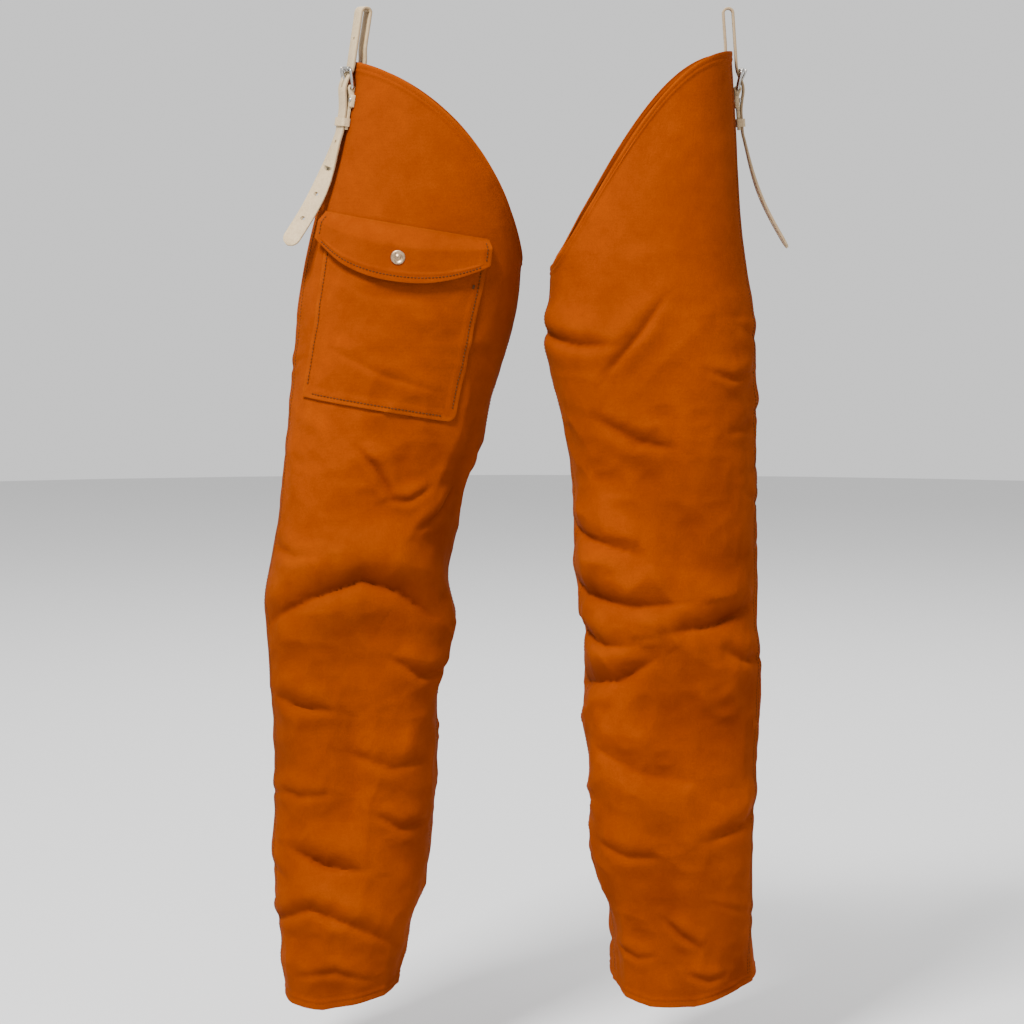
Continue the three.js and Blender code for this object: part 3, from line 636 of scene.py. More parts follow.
def canvas_material():
    """Heavy suede-like canvas: plain weave under a brushed nap, with painted shade darkening the
    folds, paler where it rubs."""
    m = Nodes("canvas", Roughness=0.95, Sheen_Weight=0.03, Sheen_Roughness=0.5,
              Sheen_Tint=(1.0, 0.3, 0.02), Specular_IOR_Level=0.06, Specular_Tint=(1.0, 0.35, 0.02))
    cloth = m.add("ShaderNodeUVMap", uv_map="cloth").outputs["UV"]
    # This attribute holds painted shade: how far the colour darkens in fold valleys and under their
    # bulges.
    painted_fold_shade = m.add("ShaderNodeAttribute", attribute_name="painted_fold_shade").outputs["Fac"]
    wear = m.add("ShaderNodeAttribute", attribute_name="wear").outputs["Fac"]
    patches = m.ramp(m.noise(5.5, 4.0), 0.34, 0.68)
    mottle = m.ramp(m.noise(55.0, 5.0, 0.65), 0.3, 0.75)
    grain = m.noise(900.0, 2.0)
    colour = m.mix(patches, CANVAS_COLOUR, tuple(0.74 * c for c in CANVAS_COLOUR))
    colour = m.mix(m.math("MULTIPLY", mottle, 0.28), colour, CANVAS_DARK)
    # Painted shade in the folds.
    colour = m.mix(m.math("MULTIPLY", painted_fold_shade, 0.9), colour, CANVAS_DARK)
    rubbed = m.math("MULTIPLY", wear, m.ramp(m.noise(34.0, 6.0, 0.7), 0.3, 0.75))
    colour = m.mix(m.math("MULTIPLY", rubbed, 0.6), colour, CANVAS_WORN)
    colour = m.mix(m.math("MULTIPLY", m.ramp(grain, 0.35, 0.75), 0.22), colour, CANVAS_DARK)
    m.join(colour, "Base Color")
    m.join(m.ramp(mottle, 0.0, 1.0, (0.82,) * 3, (0.96,) * 3), "Roughness")
    warp = m.add("ShaderNodeTexWave", {"Vector": cloth, "Scale": 260.0, "Distortion": 0.4,
                                       "Detail": 1.0}, bands_direction="X").outputs["Fac"]
    weft = m.add("ShaderNodeTexWave", {"Vector": cloth, "Scale": 240.0, "Distortion": 0.4,
                                       "Detail": 1.0}, bands_direction="Y").outputs["Fac"]
    weave = m.math("MAXIMUM", warp, weft)
    normal = m.bump(m.noise(42.0, 4.0, 0.6), 0.0016, 0.55)
    normal = m.bump(weave, 0.00022, 0.45, normal)
    normal = m.bump(grain, 0.0004, 0.5, normal)
    m.join(normal, "Normal")
    return m.material


def lining_material():
    m = Nodes("lining", Roughness=0.8, Specular_IOR_Level=0.1)
    colour = m.mix(m.ramp(m.noise(40.0), 0.3, 0.7), (0.14, 0.045, 0.018), (0.2, 0.07, 0.03))
    m.join(colour, "Base Color")
    threads = m.add("ShaderNodeTexWave", {"Vector": m.place, "Scale": 420.0, "Distortion": 1.0},
                    bands_direction="DIAGONAL").outputs["Fac"]
    m.join(m.bump(threads, 0.0002, 0.5, m.bump(m.noise(60.0), 0.001, 0.4)), "Normal")
    return m.material


def fibre_material():
    """Loose layers of cut-resistant fibre, as pale felt with long strands."""
    m = Nodes("pad_fibre", Roughness=0.95, Sheen_Weight=0.3)
    long = m.add("ShaderNodeMapping", {"Vector": m.place, "Scale": (900.0, 900.0, 60.0)}).outputs[0]
    strands = m.noise(1.0, 4.0, vector=long)
    m.join(m.mix(m.ramp(strands, 0.35, 0.7), (0.60, 0.57, 0.46), (0.78, 0.76, 0.68)), "Base Color")
    m.join(m.bump(strands, 0.0008, 0.7), "Normal")
    return m.material


def leather_material():
    m = Nodes("strap_leather", Roughness=0.6, Specular_IOR_Level=0.22)
    wear = m.add("ShaderNodeAttribute", attribute_name="wear").outputs["Fac"]
    pores = m.add("ShaderNodeTexVoronoi", {"Vector": m.place, "Scale": 1300.0}).outputs["Distance"]
    stain = m.ramp(m.noise(60.0, 5.0, 0.6), 0.35, 0.75)
    colour = m.mix(m.math("MULTIPLY", stain, 0.55), LEATHER, tuple(0.74 * c for c in LEATHER))
    fine = m.ramp(m.noise(420.0, 3.0), 0.42, 0.7)
    colour = m.mix(m.math("MULTIPLY", fine, 0.25), colour, LEATHER_EDGE)
    colour = m.mix(m.math("MULTIPLY", wear, 0.7), colour, LEATHER_EDGE)
    m.join(colour, "Base Color")
    m.join(m.ramp(stain, 0.0, 1.0, (0.5,) * 3, (0.68,) * 3), "Roughness")
    normal = m.bump(m.noise(160.0, 3.0), 0.0006, 0.4)
    m.join(m.bump(pores, 0.00025, 0.45, normal), "Normal")
    return m.material


def metal_material(name, colour, tarnish, roughness):
    m = Nodes(name, Metallic=1.0)
    cloud = m.ramp(m.noise(240.0, 4.0, 0.6), 0.4, 0.72)
    m.join(m.mix(m.math("MULTIPLY", cloud, 0.6), colour, tarnish), "Base Color")
    low, high = (roughness,) * 3, (roughness + 0.2,) * 3
    m.join(m.ramp(m.noise(700.0, 4.0), 0.3, 0.75, low, high), "Roughness")
    m.join(m.bump(m.noise(900.0, 3.0), 0.0001, 0.4), "Normal")
    return m.material


def thread_material():
    m = Nodes("thread", Roughness=0.9, Specular_IOR_Level=0.05)
    m.join(m.mix(m.ramp(m.noise(700.0), 0.35, 0.7), THREAD, tuple(2.2 * c for c in THREAD)),
           "Base Color")
    m.join(m.bump(m.noise(3500.0, 2.0), 0.0001, 0.6), "Normal")
    return m.material


CANVAS = canvas_material()
LINING = lining_material()
FIBRE = fibre_material()
LEATHER_MATERIAL = leather_material()
NICKEL = metal_material("nickel", (0.52, 0.50, 0.47), (0.20, 0.18, 0.15), 0.22)
SNAP_METAL = metal_material("snap_metal", (0.46, 0.32, 0.20), (0.09, 0.05, 0.03), 0.3)
THREAD_MATERIAL = thread_material()


def finish_piece(obj, material):
    obj.data.materials.clear()
    obj.data.materials.append(material)
    return obj


# ---- Leggings ---------------------------------------------------------------------------------
def edge_rows(length, spacing):
    """Distances from a panel's low edge, close together at both turned edges."""
    near = [0, 0.9, 2.4, 4, 5.2, 6.2, 7.4, 8.8, 10.5, 13]
    inner = np.linspace(17, length - 17, int(round((length - 34) / spacing)))
    return np.concatenate([near, inner, length - np.array(near[::-1])])


def turned_edge(distance):
    """Height of a folded and stitched edge, at a distance in from it."""
    fold = 1.0 * (1 - smoothstep(EDGE, EDGE + 2.2, distance)) * smoothstep(-1.5, 1.2, distance)
    return fold - 0.55 * np.exp(-(((distance - 5.8) / 1.1) ** 2))


def axis_point(name):
    leg = LEGS[name]

    def inside(place):
        z = np.array(min(max(place.z / MM, HEM_Z), leg["top"]))
        return Vector((float(section(leg, z)[0]) * MM, 0, place.z))

    return inside


def cloth_sheet(name, leg_name, angles, low, high, offset, spacing=2.8, edges=True, wrap=0.0):
    """A sheet of cloth on a leg, from a low edge to a high edge. offset is in millimetres, and
    wrap is how far its edges turn outwards."""
    leg = LEGS[leg_name]
    steps = int(round(math.radians(angles[1] - angles[0]) * MEAN_RADIUS / spacing))
    side = 90 / MEAN_RADIUS / math.pi * 2
    ends = np.array([0, 0.8, 2.2, 4, 5.4, 6.6, 8, 9.6, 12]) * side
    middle = np.linspace(angles[0] + EDGE_SPAN, angles[1] - EDGE_SPAN, steps)
    columns = [angles[0] + ends * EDGE_SQUEEZE, middle, angles[1] - ends[::-1] * EDGE_SQUEEZE]
    columns = np.concatenate(columns)
    top = high(columns)
    floor = low(columns)
    longest = float((top - floor).max())
    rows = edge_rows(longest, spacing) / longest
    z = floor[None, :] + rows[:, None] * (top - floor)[None, :]
    # Rows near each edge keep their true distance from it.
    from_low, from_top = z - floor, top - z
    angle = np.broadcast_to(columns, z.shape)
    height = folds(leg_name, angle, z)
    if not edges:
        height = lowest_near(height, 2) - 0.6
    lift = np.full(z.shape, float(offset))
    if edges:
        lift += turned_edge(from_top) + turned_edge(from_low)
    from_side = np.radians(np.minimum(angle - angles[0], angles[1] - angle)) * MEAN_RADIUS
    lift += wrap * (1 - smoothstep(1, 10, np.minimum(np.minimum(from_top, from_low), from_side)))
    points = leg_surface(leg_name, angle, z, lift, height)
    s = unrolled(leg, angle, z)
    # Painted shade: the colour darkens in fold valleys and on faces that turn down under a bulge,
    # where light from above would not fall.
    gap = np.gradient(height, axis=0) / np.maximum(np.gradient(z, axis=0), 0.5)
    painted_fold_shade = np.clip(-height / 6, 0, 1) * 0.5 + np.clip(gap * 1.6, 0, 1) * 0.5
    wear = np.clip(height / 9 - 0.2, 0, 1) * 0.55 + 1.0 * (1 - smoothstep(0.5, 3.0, from_top))
    wear += 1.0 * (1 - smoothstep(0.5, 4.0, from_low))
    uv = np.stack([s, z], -1) * MM
    obj = grid_object(name, points, uv, {"painted_fold_shade": painted_fold_shade, "wear": np.clip(wear, 0, 1)})
    face_out(obj, axis_point(leg_name))
    return obj, sheet_area(points)


def lowest_near(values, reach):
    """The lowest value within a reach of grid steps."""
    low = values
    for axis in (0, 1):
        padded = np.pad(low, [(reach, reach) if k == axis else (0, 0) for k in (0, 1)], mode="edge")
        size = values.shape[axis]
        parts = [np.take(padded, np.arange(k, k + size), axis) for k in range(2 * reach + 1)]
        low = np.min(parts, axis=0)
    return low


def sheet_area(points):
    a = points[1:, :-1] - points[:-1, :-1]
    b = points[:-1, 1:] - points[:-1, :-1]
    return float(np.linalg.norm(np.cross(a, b), axis=-1).sum())


def on_leg(obj, name):
    """Puts a piece's placement into its mesh."""
    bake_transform(obj)


def edge_line(name, columns, z, offset):
    angle, z = np.broadcast_arrays(np.asarray(columns, float), np.asarray(z, float))
    height = folds(name, angle, z)
    points = leg_surface(name, angle, z, np.full(z.shape, float(offset)), height)
    further = leg_surface(name, angle, z, np.full(z.shape, offset + 1.0), height)
    return points, further - points


def make_legging(name):
    lap = LAP_LIFT
    front, front_area = cloth_sheet(
        f"{name}_front_panel", name, (OUTER_SEAM - 1, INNER_SEAM + 1),
        lambda a: hem_edge(name, a), lambda a: top_edge(name, a), lap,
    )
    back, back_area = cloth_sheet(
        f"{name}_back_panel", name, (INNER_SEAM - LAP, 360 + OUTER_SEAM + LAP),
        lambda a: hem_edge(name, a), lambda a: top_edge(name, a), 0.0, 3.3,
    )
    pad_range = (OUTER_SEAM + PAD_INSET, INNER_SEAM - PAD_INSET)

    def crown(a):
        return np.minimum(PAD_TOP, top_edge(name, a) - PAD_DROP)

    def foot(a):
        return np.full(np.shape(a), float(HEM_Z + PAD_FOOT))

    lining, lining_area = cloth_sheet(
        f"{name}_lining", name, (pad_range[0] - LINING_PROUD, pad_range[1] + LINING_PROUD),
        lambda a: foot(a) - LINING_LONGER, lambda a: crown(a) + LINING_LONGER, -10.6, 4, False, 10.2,
    )
    pad, _ = cloth_sheet(f"{name}_pad", name, pad_range, foot, crown, -2.6, 5, False)
    sheets = ((front, front_area, "front", CLOTH), (back, back_area, "back", CLOTH),
              (lining, lining_area, "lining", 0.8))
    for obj, area, part, thickness in sheets:
        thicken(obj, thickness)
        cloth = part != "lining"
        finish_piece(obj, CANVAS if cloth else LINING)
        stem = f"{name}_{part}_panel" if cloth else f"{name}_lining"
        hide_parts(f"{stem}_upper", f"{stem}_lower")
        on_leg(obj, name)
    thicken(pad, 6.6)
    finish_piece(pad, FIBRE)
    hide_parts(f"{name}_pad_upper", f"{name}_pad_lower")
    on_leg(pad, name)
    make_leg_stitches(name, lap)


def make_leg_stitches(name, lap):
    proud = lap + 0.2
    round_front = np.linspace(OUTER_SEAM, INNER_SEAM, 140)
    round_back = np.linspace(INNER_SEAM + 3, 358 + OUTER_SEAM, 170)
    up = np.linspace(HEM_Z + 10, -30, 270)
    inner_up = np.linspace(HEM_Z + 10, float(top_edge(name, np.array(float(INNER_SEAM)))) - 4, 240)
    lines = []
    for columns, offset in ((round_front, proud), (round_back, 0.2)):
        lines.append(edge_line(name, columns, top_edge(name, columns) - 5.8, offset))
        lines.append(edge_line(name, columns, hem_edge(name, columns) + 5.8, offset))
    outer_top = float(top_edge(name, np.array(float(OUTER_SEAM)))) - 8
    up = up[up < outer_top]
    for inset in (2.0, 5.2):
        lines.append(edge_line(name, OUTER_SEAM + inset, up, proud - 0.15))
    lines.append(edge_line(name, INNER_SEAM - 2.2, inner_up, proud - 0.15))
    obj = stitches(f"{name}_seam_stitching", lines, 3.4, 2.7, 0.42)
    finish_piece(obj, THREAD_MATERIAL)
    on_leg(obj, name)


# ---- Pocket -----------------------------------------------------------------------------------
POCKET_TILT = 10
POCKET_TOP = (-132, -200)
POCKET_WIDTH = 160
POCKET_DEPTH = 168
POCKET_TAPER = 5
FLAP_TOP = (-133, -187)
FLAP_WIDTH = 162
FLAP_END = 26
FLAP_DEPTH = 54
FLAP_RUN = 48
WORN_DEPTH = 150
POCKET_CUT = (0.165, 0.172)  # metres
FLAP_CUT = (0.168, 0.062)
POCKET_FOLDS = [
    ([(24, -116), (80, -134), (142, -142)], 1.8, 10),
    ([(10, -48), (60, -60), (120, -56)], 1.1, 14),
]
TUCK_IN = 7  # the outer ends keep clear of the leg's side
STITCH_IN = 4.6  # stitches from a pocket's edge
TACK_AT = (0.955, 0.20)  # bar tack at the corner of the pocket's mouth


def tilted(origin, x, z):
    c, s = math.cos(math.radians(POCKET_TILT)), math.sin(math.radians(POCKET_TILT))
    return origin[0] + x * c + z * s, origin[1] - x * s + z * c


def pocket_points(x, z, offset):
    angle = angle_of(LEGS["right"], x, z)
    return leg_surface("right", angle, z, offset)


def patch(name, u, v, place, lift):
    """A sewn patch of cloth over the right thigh: u across and v down, both from 0 to 1."""
    x, z = place(u, v)
    points = pocket_points(x, z, lift)
    # No painted fold shade on a patch.
    painted_fold_shade = np.zeros(x.shape)
    edge = np.minimum(np.minimum(u, 1 - u) * POCKET_WIDTH, np.minimum(v, 1 - v) * WORN_DEPTH)
    wear = np.clip(1 - edge / 5, 0, 1) * 0.8
    obj = grid_object(name, points, np.stack([x, z], -1) * MM, {"painted_fold_shade": painted_fold_shade, "wear": wear})
    face_out(obj, lambda c: Vector((c.x, 0, c.z)))
    area = sheet_area(points)
    thicken(obj, CLOTH)
    finish_piece(obj, CANVAS)
    return obj, area


def pocket_place(u, v):
    half = POCKET_WIDTH / 2 - POCKET_TAPER * v
    corner = 7.0
    x = (2 * u - 1) * half + TUCK_IN * (1 - u) ** 3
    # The two bottom corners are a little rounded.
    deep = v * POCKET_DEPTH
    side = np.clip((np.abs(x) - half + corner) / corner, 0, 1)
    deep = deep - np.clip(v - 0.9, 0, 0.1) * 10 * corner * (1 - np.sqrt(1 - side**2 * 0.98))
    return tilted(POCKET_TOP, x, -deep)


def pocket_lift(u, v):
    inset = np.minimum(np.minimum(u, 1 - u) * POCKET_WIDTH, (1 - v) * POCKET_DEPTH)
    across = np.sin(math.pi * np.clip(u, 0, 1))
    puff = smoothstep(3, 44, inset) * (3.0 + 1.9 * across * smoothstep(0.0, 0.3, v))
    x, z = u * POCKET_WIDTH, -v * POCKET_DEPTH
    fold = np.zeros(u.shape)
    for line, depth, width in POCKET_FOLDS:
        fold = fold + fold_height(*line_distance(line, x, z), depth, width)
    ripple = 1.0 * value_noise(u * 0.5, v, (9, 7), 41) + 0.5 * value_noise(u * 0.5, v, (18, 15), 42)
    soft = smoothstep(4, 22, inset)
    return 3.9 + puff + (fold + ripple) * soft + turned_edge(inset) * 0.8


def make_pocket():
    u, v = np.meshgrid(dense(90), dense(96))
    lift = pocket_lift(u, v)
    pocket, area = patch("right_pocket_panel", u, v, pocket_place, lift)
    min(area, CUT_AREA * POCKET_CUT[0] * POCKET_CUT[1])
    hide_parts("right_pocket")
    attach(pocket, "right_legging")

    u, v = np.meshgrid(dense(96), dense(40))
    flap, area = patch("right_pocket_flap_cloth", u, v, flap_place, flap_lift(u, v))
    min(area, CUT_AREA * FLAP_CUT[0] * FLAP_CUT[1])
    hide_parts("right_pocket_flap")
    bend_with_flap(flap)
    make_pocket_stitches()


def flap_place(u, v):
    across = 2 * u - 1
    deep = FLAP_DEPTH - (FLAP_DEPTH - FLAP_END) * np.abs(across) ** 2.2
    return tilted(FLAP_TOP, across * FLAP_WIDTH / 2 + TUCK_IN * (1 - u) ** 3, -v * deep)


def flap_lift(u, v):
    """Height of the flap's outer face over the thigh: low along its seam and at its ends."""
    rise = smoothstep(0.0, 0.4, v)
    curl = 3.0 * np.exp(-(((u - 0.97) / 0.07) ** 2)) * v**2 + 1.6 * np.exp(-((u / 0.07) ** 2)) * v**2
    wave = 0.9 * value_noise(u * 0.5, v, (8, 3), 51) * v
    from_snap = ((u - 0.47) * FLAP_WIDTH) ** 2 + ((v - 0.62) * FLAP_DEPTH) ** 2
    dimple = -1.2 * np.exp(-from_snap / 13**2)
    distance = np.minimum(np.minimum(u, 1 - u) * FLAP_WIDTH, (1 - v) * FLAP_RUN)
    lift = 4.2 + 9.6 * rise * (0.45 + 0.55 * np.sin(math.pi * u)) + 2.4 * rise
    return lift + curl + wave + dimple + turned_edge(distance) * 0.9


def bend_with_flap(obj):
    """Puts a piece's placement into its mesh."""
    hinge = frame_joint("pocket_flap_hinge")["pos"]
    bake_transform(obj)


def dense(count):
    """Even steps from 0 to 1, with closer ones at both ends."""
    near = np.array([0, 0.006, 0.016, 0.03, 0.042, 0.052, 0.064])
    return np.concatenate([near, np.linspace(0.078, 0.922, count), 1 - near[::-1]])


def patch_line(place, lift_of, u, v, above=0.35):
    x, z = place(u, v)
    angle = angle_of(LEGS["right"], x, z)
    lift = lift_of(u, v) + above
    height = folds("right", angle, z)
    points = leg_surface("right", angle, z, lift, height)
    outs = leg_surface("right", angle, z, lift + 1.0, height) - points
    return points, outs


def make_pocket_stitches():
    run = np.linspace(0.03, 0.965, 120)
    low, high = STITCH_IN / POCKET_WIDTH, 1 - STITCH_IN / POCKET_WIDTH
    foot = 1 - STITCH_IN / POCKET_DEPTH
    fixed = [
        patch_line(pocket_place, pocket_lift, np.full(run.shape, low), run * foot),
        patch_line(pocket_place, pocket_lift, np.full(run.shape, high), run * foot),
        patch_line(pocket_place, pocket_lift, low + (high - low) * run, np.full(run.shape, foot)),
    ]
    for row in range(4):
        across = np.linspace(TACK_AT[0] - 0.03, TACK_AT[0] + 0.018, 8)
        down = np.full(across.shape, TACK_AT[1] + 0.006 * row)
        fixed.append(patch_line(pocket_place, pocket_lift, across, down, 0.5))
    obj = stitches("right_pocket_stitching", fixed, 3.4, 2.7, 0.6)
    finish_piece(obj, THREAD_MATERIAL)
    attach(obj, "right_legging")
    ends = []
    for across in (0.028, 0.972):
        down = np.linspace(0.1, 0.86, 40)
        ends.append(patch_line(flap_place, flap_lift, np.full(down.shape, across), down))
    round_edge = np.linspace(0.04, 0.96, 160)
    ends.append(patch_line(flap_place, flap_lift, round_edge, np.full(round_edge.shape, 0.9)))
    obj = stitches("right_pocket_flap_stitching", ends, 3.4, 2.7, 0.6)
    finish_piece(obj, THREAD_MATERIAL)
    bend_with_flap(obj)


def make_snap():
    cap = frame_box_centre("right_pocket_snap_cap")
    out = Vector((0, -1, 0))
    side = Vector((1, 0, 0))
    up = Vector((0, 0, 1))

    def place(a, b, height):
        return cap + (side * a + up * b + out * height) * MM

    profile = [(0, -2.6), (5.8, -2.4), (6.9, -1.7), (7.2, -1.0), (7.1, -0.2), (6.5, 0.5), (5.6, 0.8),
               (4.8, 0.6), (4.1, 0.0), (3.5, -0.4), (3.0, -0.3), (2.6, 0.2), (2.0, 0.7), (1.0, 1.0),
               (0, 1.05)]
    obj = turned("right_pocket_snap_dome", profile, place, 48)
    finish_piece(obj, SNAP_METAL)
    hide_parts("right_pocket_snap_cap")
    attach(obj, "pocket_flap")
    for node in ("right_pocket_snap_socket", "right_pocket_snap_stud", "right_pocket_snap_post"):
        paint_node(node, SNAP_METAL)


def paint_node(node, material):
    obj = frame["nodes"][node]
    obj.data.materials.clear()
    obj.data.materials.append(material)


def frame_box_centre(node):
    low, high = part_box(node)
    return (Vector(low) + Vector(high)) / 2


def frame_joint(name):
    """A joint's place and direction in the frame."""
    joint = next(j for j in frame["record"]["behaviour"]["joints"] if j["name"] == name)
    place = Vector(joint["pos_m"]) if "pos_m" in joint else None
    return {"pos": place, "axis": Vector(joint["axis"]).normalized()}


# ---- Strap and buckle, in millimetres across, outwards and up from the belt ------------------
STRAP_WIDTH = 19
STRAP = 2.4
LOOP_DEPTH = 7
LOOP_TOP = 21
HEEL_OUT, HEEL_Z = 4.3, -57
FREE_OUT, FREE_Z = 9.4, -39
RIVET_Z = -68
RIVET_OUT = 12
CHAPE_LIFT = 2.1
CHAPE = 3
OVER_CHAPE = 6.6
TAIL_Z = -100
KEEPER_Z = -90
TAIL_LENGTH = 122
HOLE_R = 2.1
HOLE_PITCH = 27
BAND_HOLE = 92  # back along the strap from where its tail starts
BORE = 1.75  # of everything that turns on a buckle's wire
WIRE_R = 1.5
WIRE_MIDDLE = 1.4  # from the inside of the frame
FRAME_INNER = 11.3
EYE_ROOM = 1.8
EYE_WALL = 1.8
TAIL_TWIST = {"right": 38, "left": 6}  # degrees that a tail turns to face the front


def strap_place(name):
    """Turns a side's strap numbers into places in the frame, from its joints."""
    tail = frame_joint(f"{name}_tail_flex")
    across, up = tail["axis"], frame_joint(f"{name}_keeper_slide")["axis"]
    out = up.cross(across).normalized()
    origin = tail["pos"] - (out * OVER_CHAPE + up * TAIL_Z) * MM

    def place(x, y, z):
        return origin + (across * x + out * y + up * z) * MM

    return place


def strap_route():
    """The middle of the strap, outwards and up, from its anchor to its tip."""
    middle = (LOOP_DEPTH + STRAP) / 2
    crown = LOOP_TOP - LOOP_DEPTH / 2
    points = [(-6.6, -83), (-6.6, -62), (-6.6, -40), (-6.4, -28), (-middle, -16), (-middle, 4)]
    for i in range(9):
        turn = math.pi * (1 - i / 8)
        points.append((middle * math.cos(turn), crown + middle * math.sin(turn)))
    points += [(middle, 4), (middle + 0.1, -20), (middle + 0.4, -38), (8.4, -48), (9.9, -54),
               (9.9, -60), (8.2, -68), (OVER_CHAPE + 0.1, -78), (OVER_CHAPE, -90),
               (OVER_CHAPE + 0.1, TAIL_Z)]
    y, z = OVER_CHAPE + 0.1, float(TAIL_Z)
    step = TAIL_LENGTH / 20
    for i in range(20):
        flare = math.radians(10 + 16 * float(smoothstep(15, 105, i * step)))
        y, z = y + step * math.sin(flare), z - step * math.cos(flare)
        points.append((y, z))
    return points


def strap_section(half_width, thickness):
    """A rectangle with soft corners and slightly crowned faces, across and through."""
    r = min(0.8, thickness * 0.33)
    corners = []
    for sx, sy, start in ((1, -1, -90), (1, 1, 0), (-1, 1, 90), (-1, -1, 180)):
        for k in range(3):
            turn = math.radians(start + 45 * k)
            corners.append((sx * (half_width - r) + r * math.cos(turn),
                            sy * (thickness / 2 - r) + r * math.sin(turn)))
    return corners


def make_strap(name):
    place = strap_place(name)
    route = smooth_path(strap_route(), 1.6)
    tangent = np.gradient(route, axis=0)
    tangent /= np.linalg.norm(tangent, axis=1, keepdims=True)
    run = np.concatenate([[0], np.cumsum(np.linalg.norm(np.diff(route, axis=0), axis=1))])
    tail_run = float(run[np.argmin(np.abs(route[:, 1] - TAIL_Z) + 50 * (route[:, 0] < 0))])
    rings = []
    for i, ((y, z), (ty, tz)) in enumerate(zip(route, tangent)):
        from_end, from_start = run[-1] - run[i], run[i]
        half = STRAP_WIDTH / 2
        if from_end < half:
            half *= math.sqrt(max(0.02, 1 - ((half - from_end) / half) ** 2))
        half += 4.5 * (1 - float(smoothstep(21, 27, from_start)))
        normal = (-tz, ty)
        twist = math.radians(TAIL_TWIST[name]) * float(smoothstep(tail_run, tail_run + 70, run[i]))
        c, s = math.cos(twist), math.sin(twist)
        ring = []
        for a, b in strap_section(half, STRAP):
            across, through = a * c - b * s, a * s + b * c
            ring.append(place(across, y + normal[0] * through, z + normal[1] * through))
        rings.append(ring)
    strap = swept(f"{name}_strap_leather", rings)
    tools = []
    marks = [tail_run + 10 + HOLE_PITCH * k for k in range(4)] + [tail_run - BAND_HOLE]
    for k, mark in enumerate(marks):
        i = int(np.argmin(np.abs(run - mark)))
        (y, z), (ty, tz) = route[i], tangent[i]

        def through(a, b, c, y=y, z=z, ty=ty, tz=tz):
            return place(a, y + ty * b - tz * c, z + tz * b + ty * c)

        tools.append(prism(f"{name}_hole_{k}", circle(HOLE_R, 20), -3, 3, through))
    slot = [(-2.0, -57), (2.0, -57), (2.0, -44), (-2.0, -44)]
    tools.append(prism(f"{name}_slot", slot, 3, 14, lambda a, b, c: place(a, c, b)))
    cut_with(strap, tools)
    wear = np.zeros(len(strap.data.vertices))
    attribute = strap.data.attributes.new("wear", "FLOAT", "POINT")
    origin, across = place(0, 0, 0), (place(1, 0, 0) - place(0, 0, 0)).normalized()
    for vertex in strap.data.vertices:
        side = abs((vertex.co - origin).dot(across)) / MM
        wear[vertex.index] = float(smoothstep(STRAP_WIDTH / 2 - 0.9, STRAP_WIDTH / 2 - 0.1, side))
    attribute.data.foreach_set("value", wear.astype(np.float32))
    finish_piece(strap, LEATHER_MATERIAL)
    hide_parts(f"{name}_strap", f"{name}_strap_tail")
    start, end = place(0, OVER_CHAPE, TAIL_Z + 3), place(0, OVER_CHAPE + 12, TAIL_Z - 30)
    tuple(start)
    tuple(end)
    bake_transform(strap)


def make_chape(name):
    place = strap_place(name)
    eye, top = EYE_ROOM + EYE_WALL, CHAPE_LIFT + CHAPE
    outline = [(top, -97), (top, -64)]
    for k in range(17):
        turn = math.radians(-28 + 236 * k / 16)
        outline.append((HEEL_OUT + eye * math.cos(turn), HEEL_Z + eye * math.sin(turn)))
    outline += [(0.7, -62), (0.5, -75), (CHAPE_LIFT, -76), (CHAPE_LIFT, -97)]
    body = prism(f"{name}_chape_leather", outline, -10, 10, lambda a, b, c: place(c, a, b))
    hole = prism("tool_a", circle(BORE, 24, HEEL_OUT, HEEL_Z), -16, 16, lambda a, b, c: place(c, a, b))
    slot = [(-2.1, -62), (2.1, -62), (2.1, -50), (-2.1, -50)]
    slit = prism("tool_b", slot, -2, 14, lambda a, b, c: place(a, c, b))
    cut_with(body, [hole, slit])
    bevelled(body, 0.5)
    wing = [(0.5, -75), (top, -75), (top, -63), (0.5, -63)]
    finish_piece(body, LEATHER_MATERIAL)
    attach(body, f"{name}_legging")
    ears = []
    for sign in (-1, 1):
        ear = prism(f"{name}_chape_ear_{'rear' if sign > 0 else 'front'}", wing,
                    sign * 9.2, sign * 14, lambda a, b, c: place(c, a, b))
        bevelled(ear, 1.0, 4)
        ears.append(ear)
    join_into(body, ears)
    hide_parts(f"{name}_buckle_chape")


def join_into(target, others):
    """Adds the meshes of others to a target as further closed shells."""
    mesh = bmesh.new()
    mesh.from_mesh(target.data)
    for other in others:
        mesh.from_mesh(other.data)
        bpy.data.objects.remove(other)
    mesh.to_mesh(target.data)
    mesh.free()
    shade_smooth(target)


def wire_loop(name, place, corners, radius, bend, sides=14):
    """A closed wire through corners in a plane, each rounded by a bend."""
    path = []
    count = len(corners)
    corners = [Vector(c) for c in corners]
    for i, corner in enumerate(corners):
        before, after = corners[i - 1], corners[(i + 1) % count]
        a = corner + (before - corner).normalized() * bend
        b = corner + (after - corner).normalized() * bend
        for k in range(7):
            t = k / 6
            path.append(a * (1 - t) ** 2 + corner * 2 * t * (1 - t) + b * t**2)
    flat = (corners[1] - corners[0]).cross(corners[2] - corners[1]).normalized()
    rings = []
    for i, point in enumerate(path):
        along = (path[(i + 1) % len(path)] - path[i - 1]).normalized()
        side = along.cross(flat).normalized()
        ring = []
        for k in range(sides):
            turn = 2 * math.pi * k / sides
            p = point + side * (radius * math.cos(turn)) + flat * (radius * math.sin(turn))
            ring.append(place(*p))
        rings.append(ring)
    return swept(name, rings, closed=True)


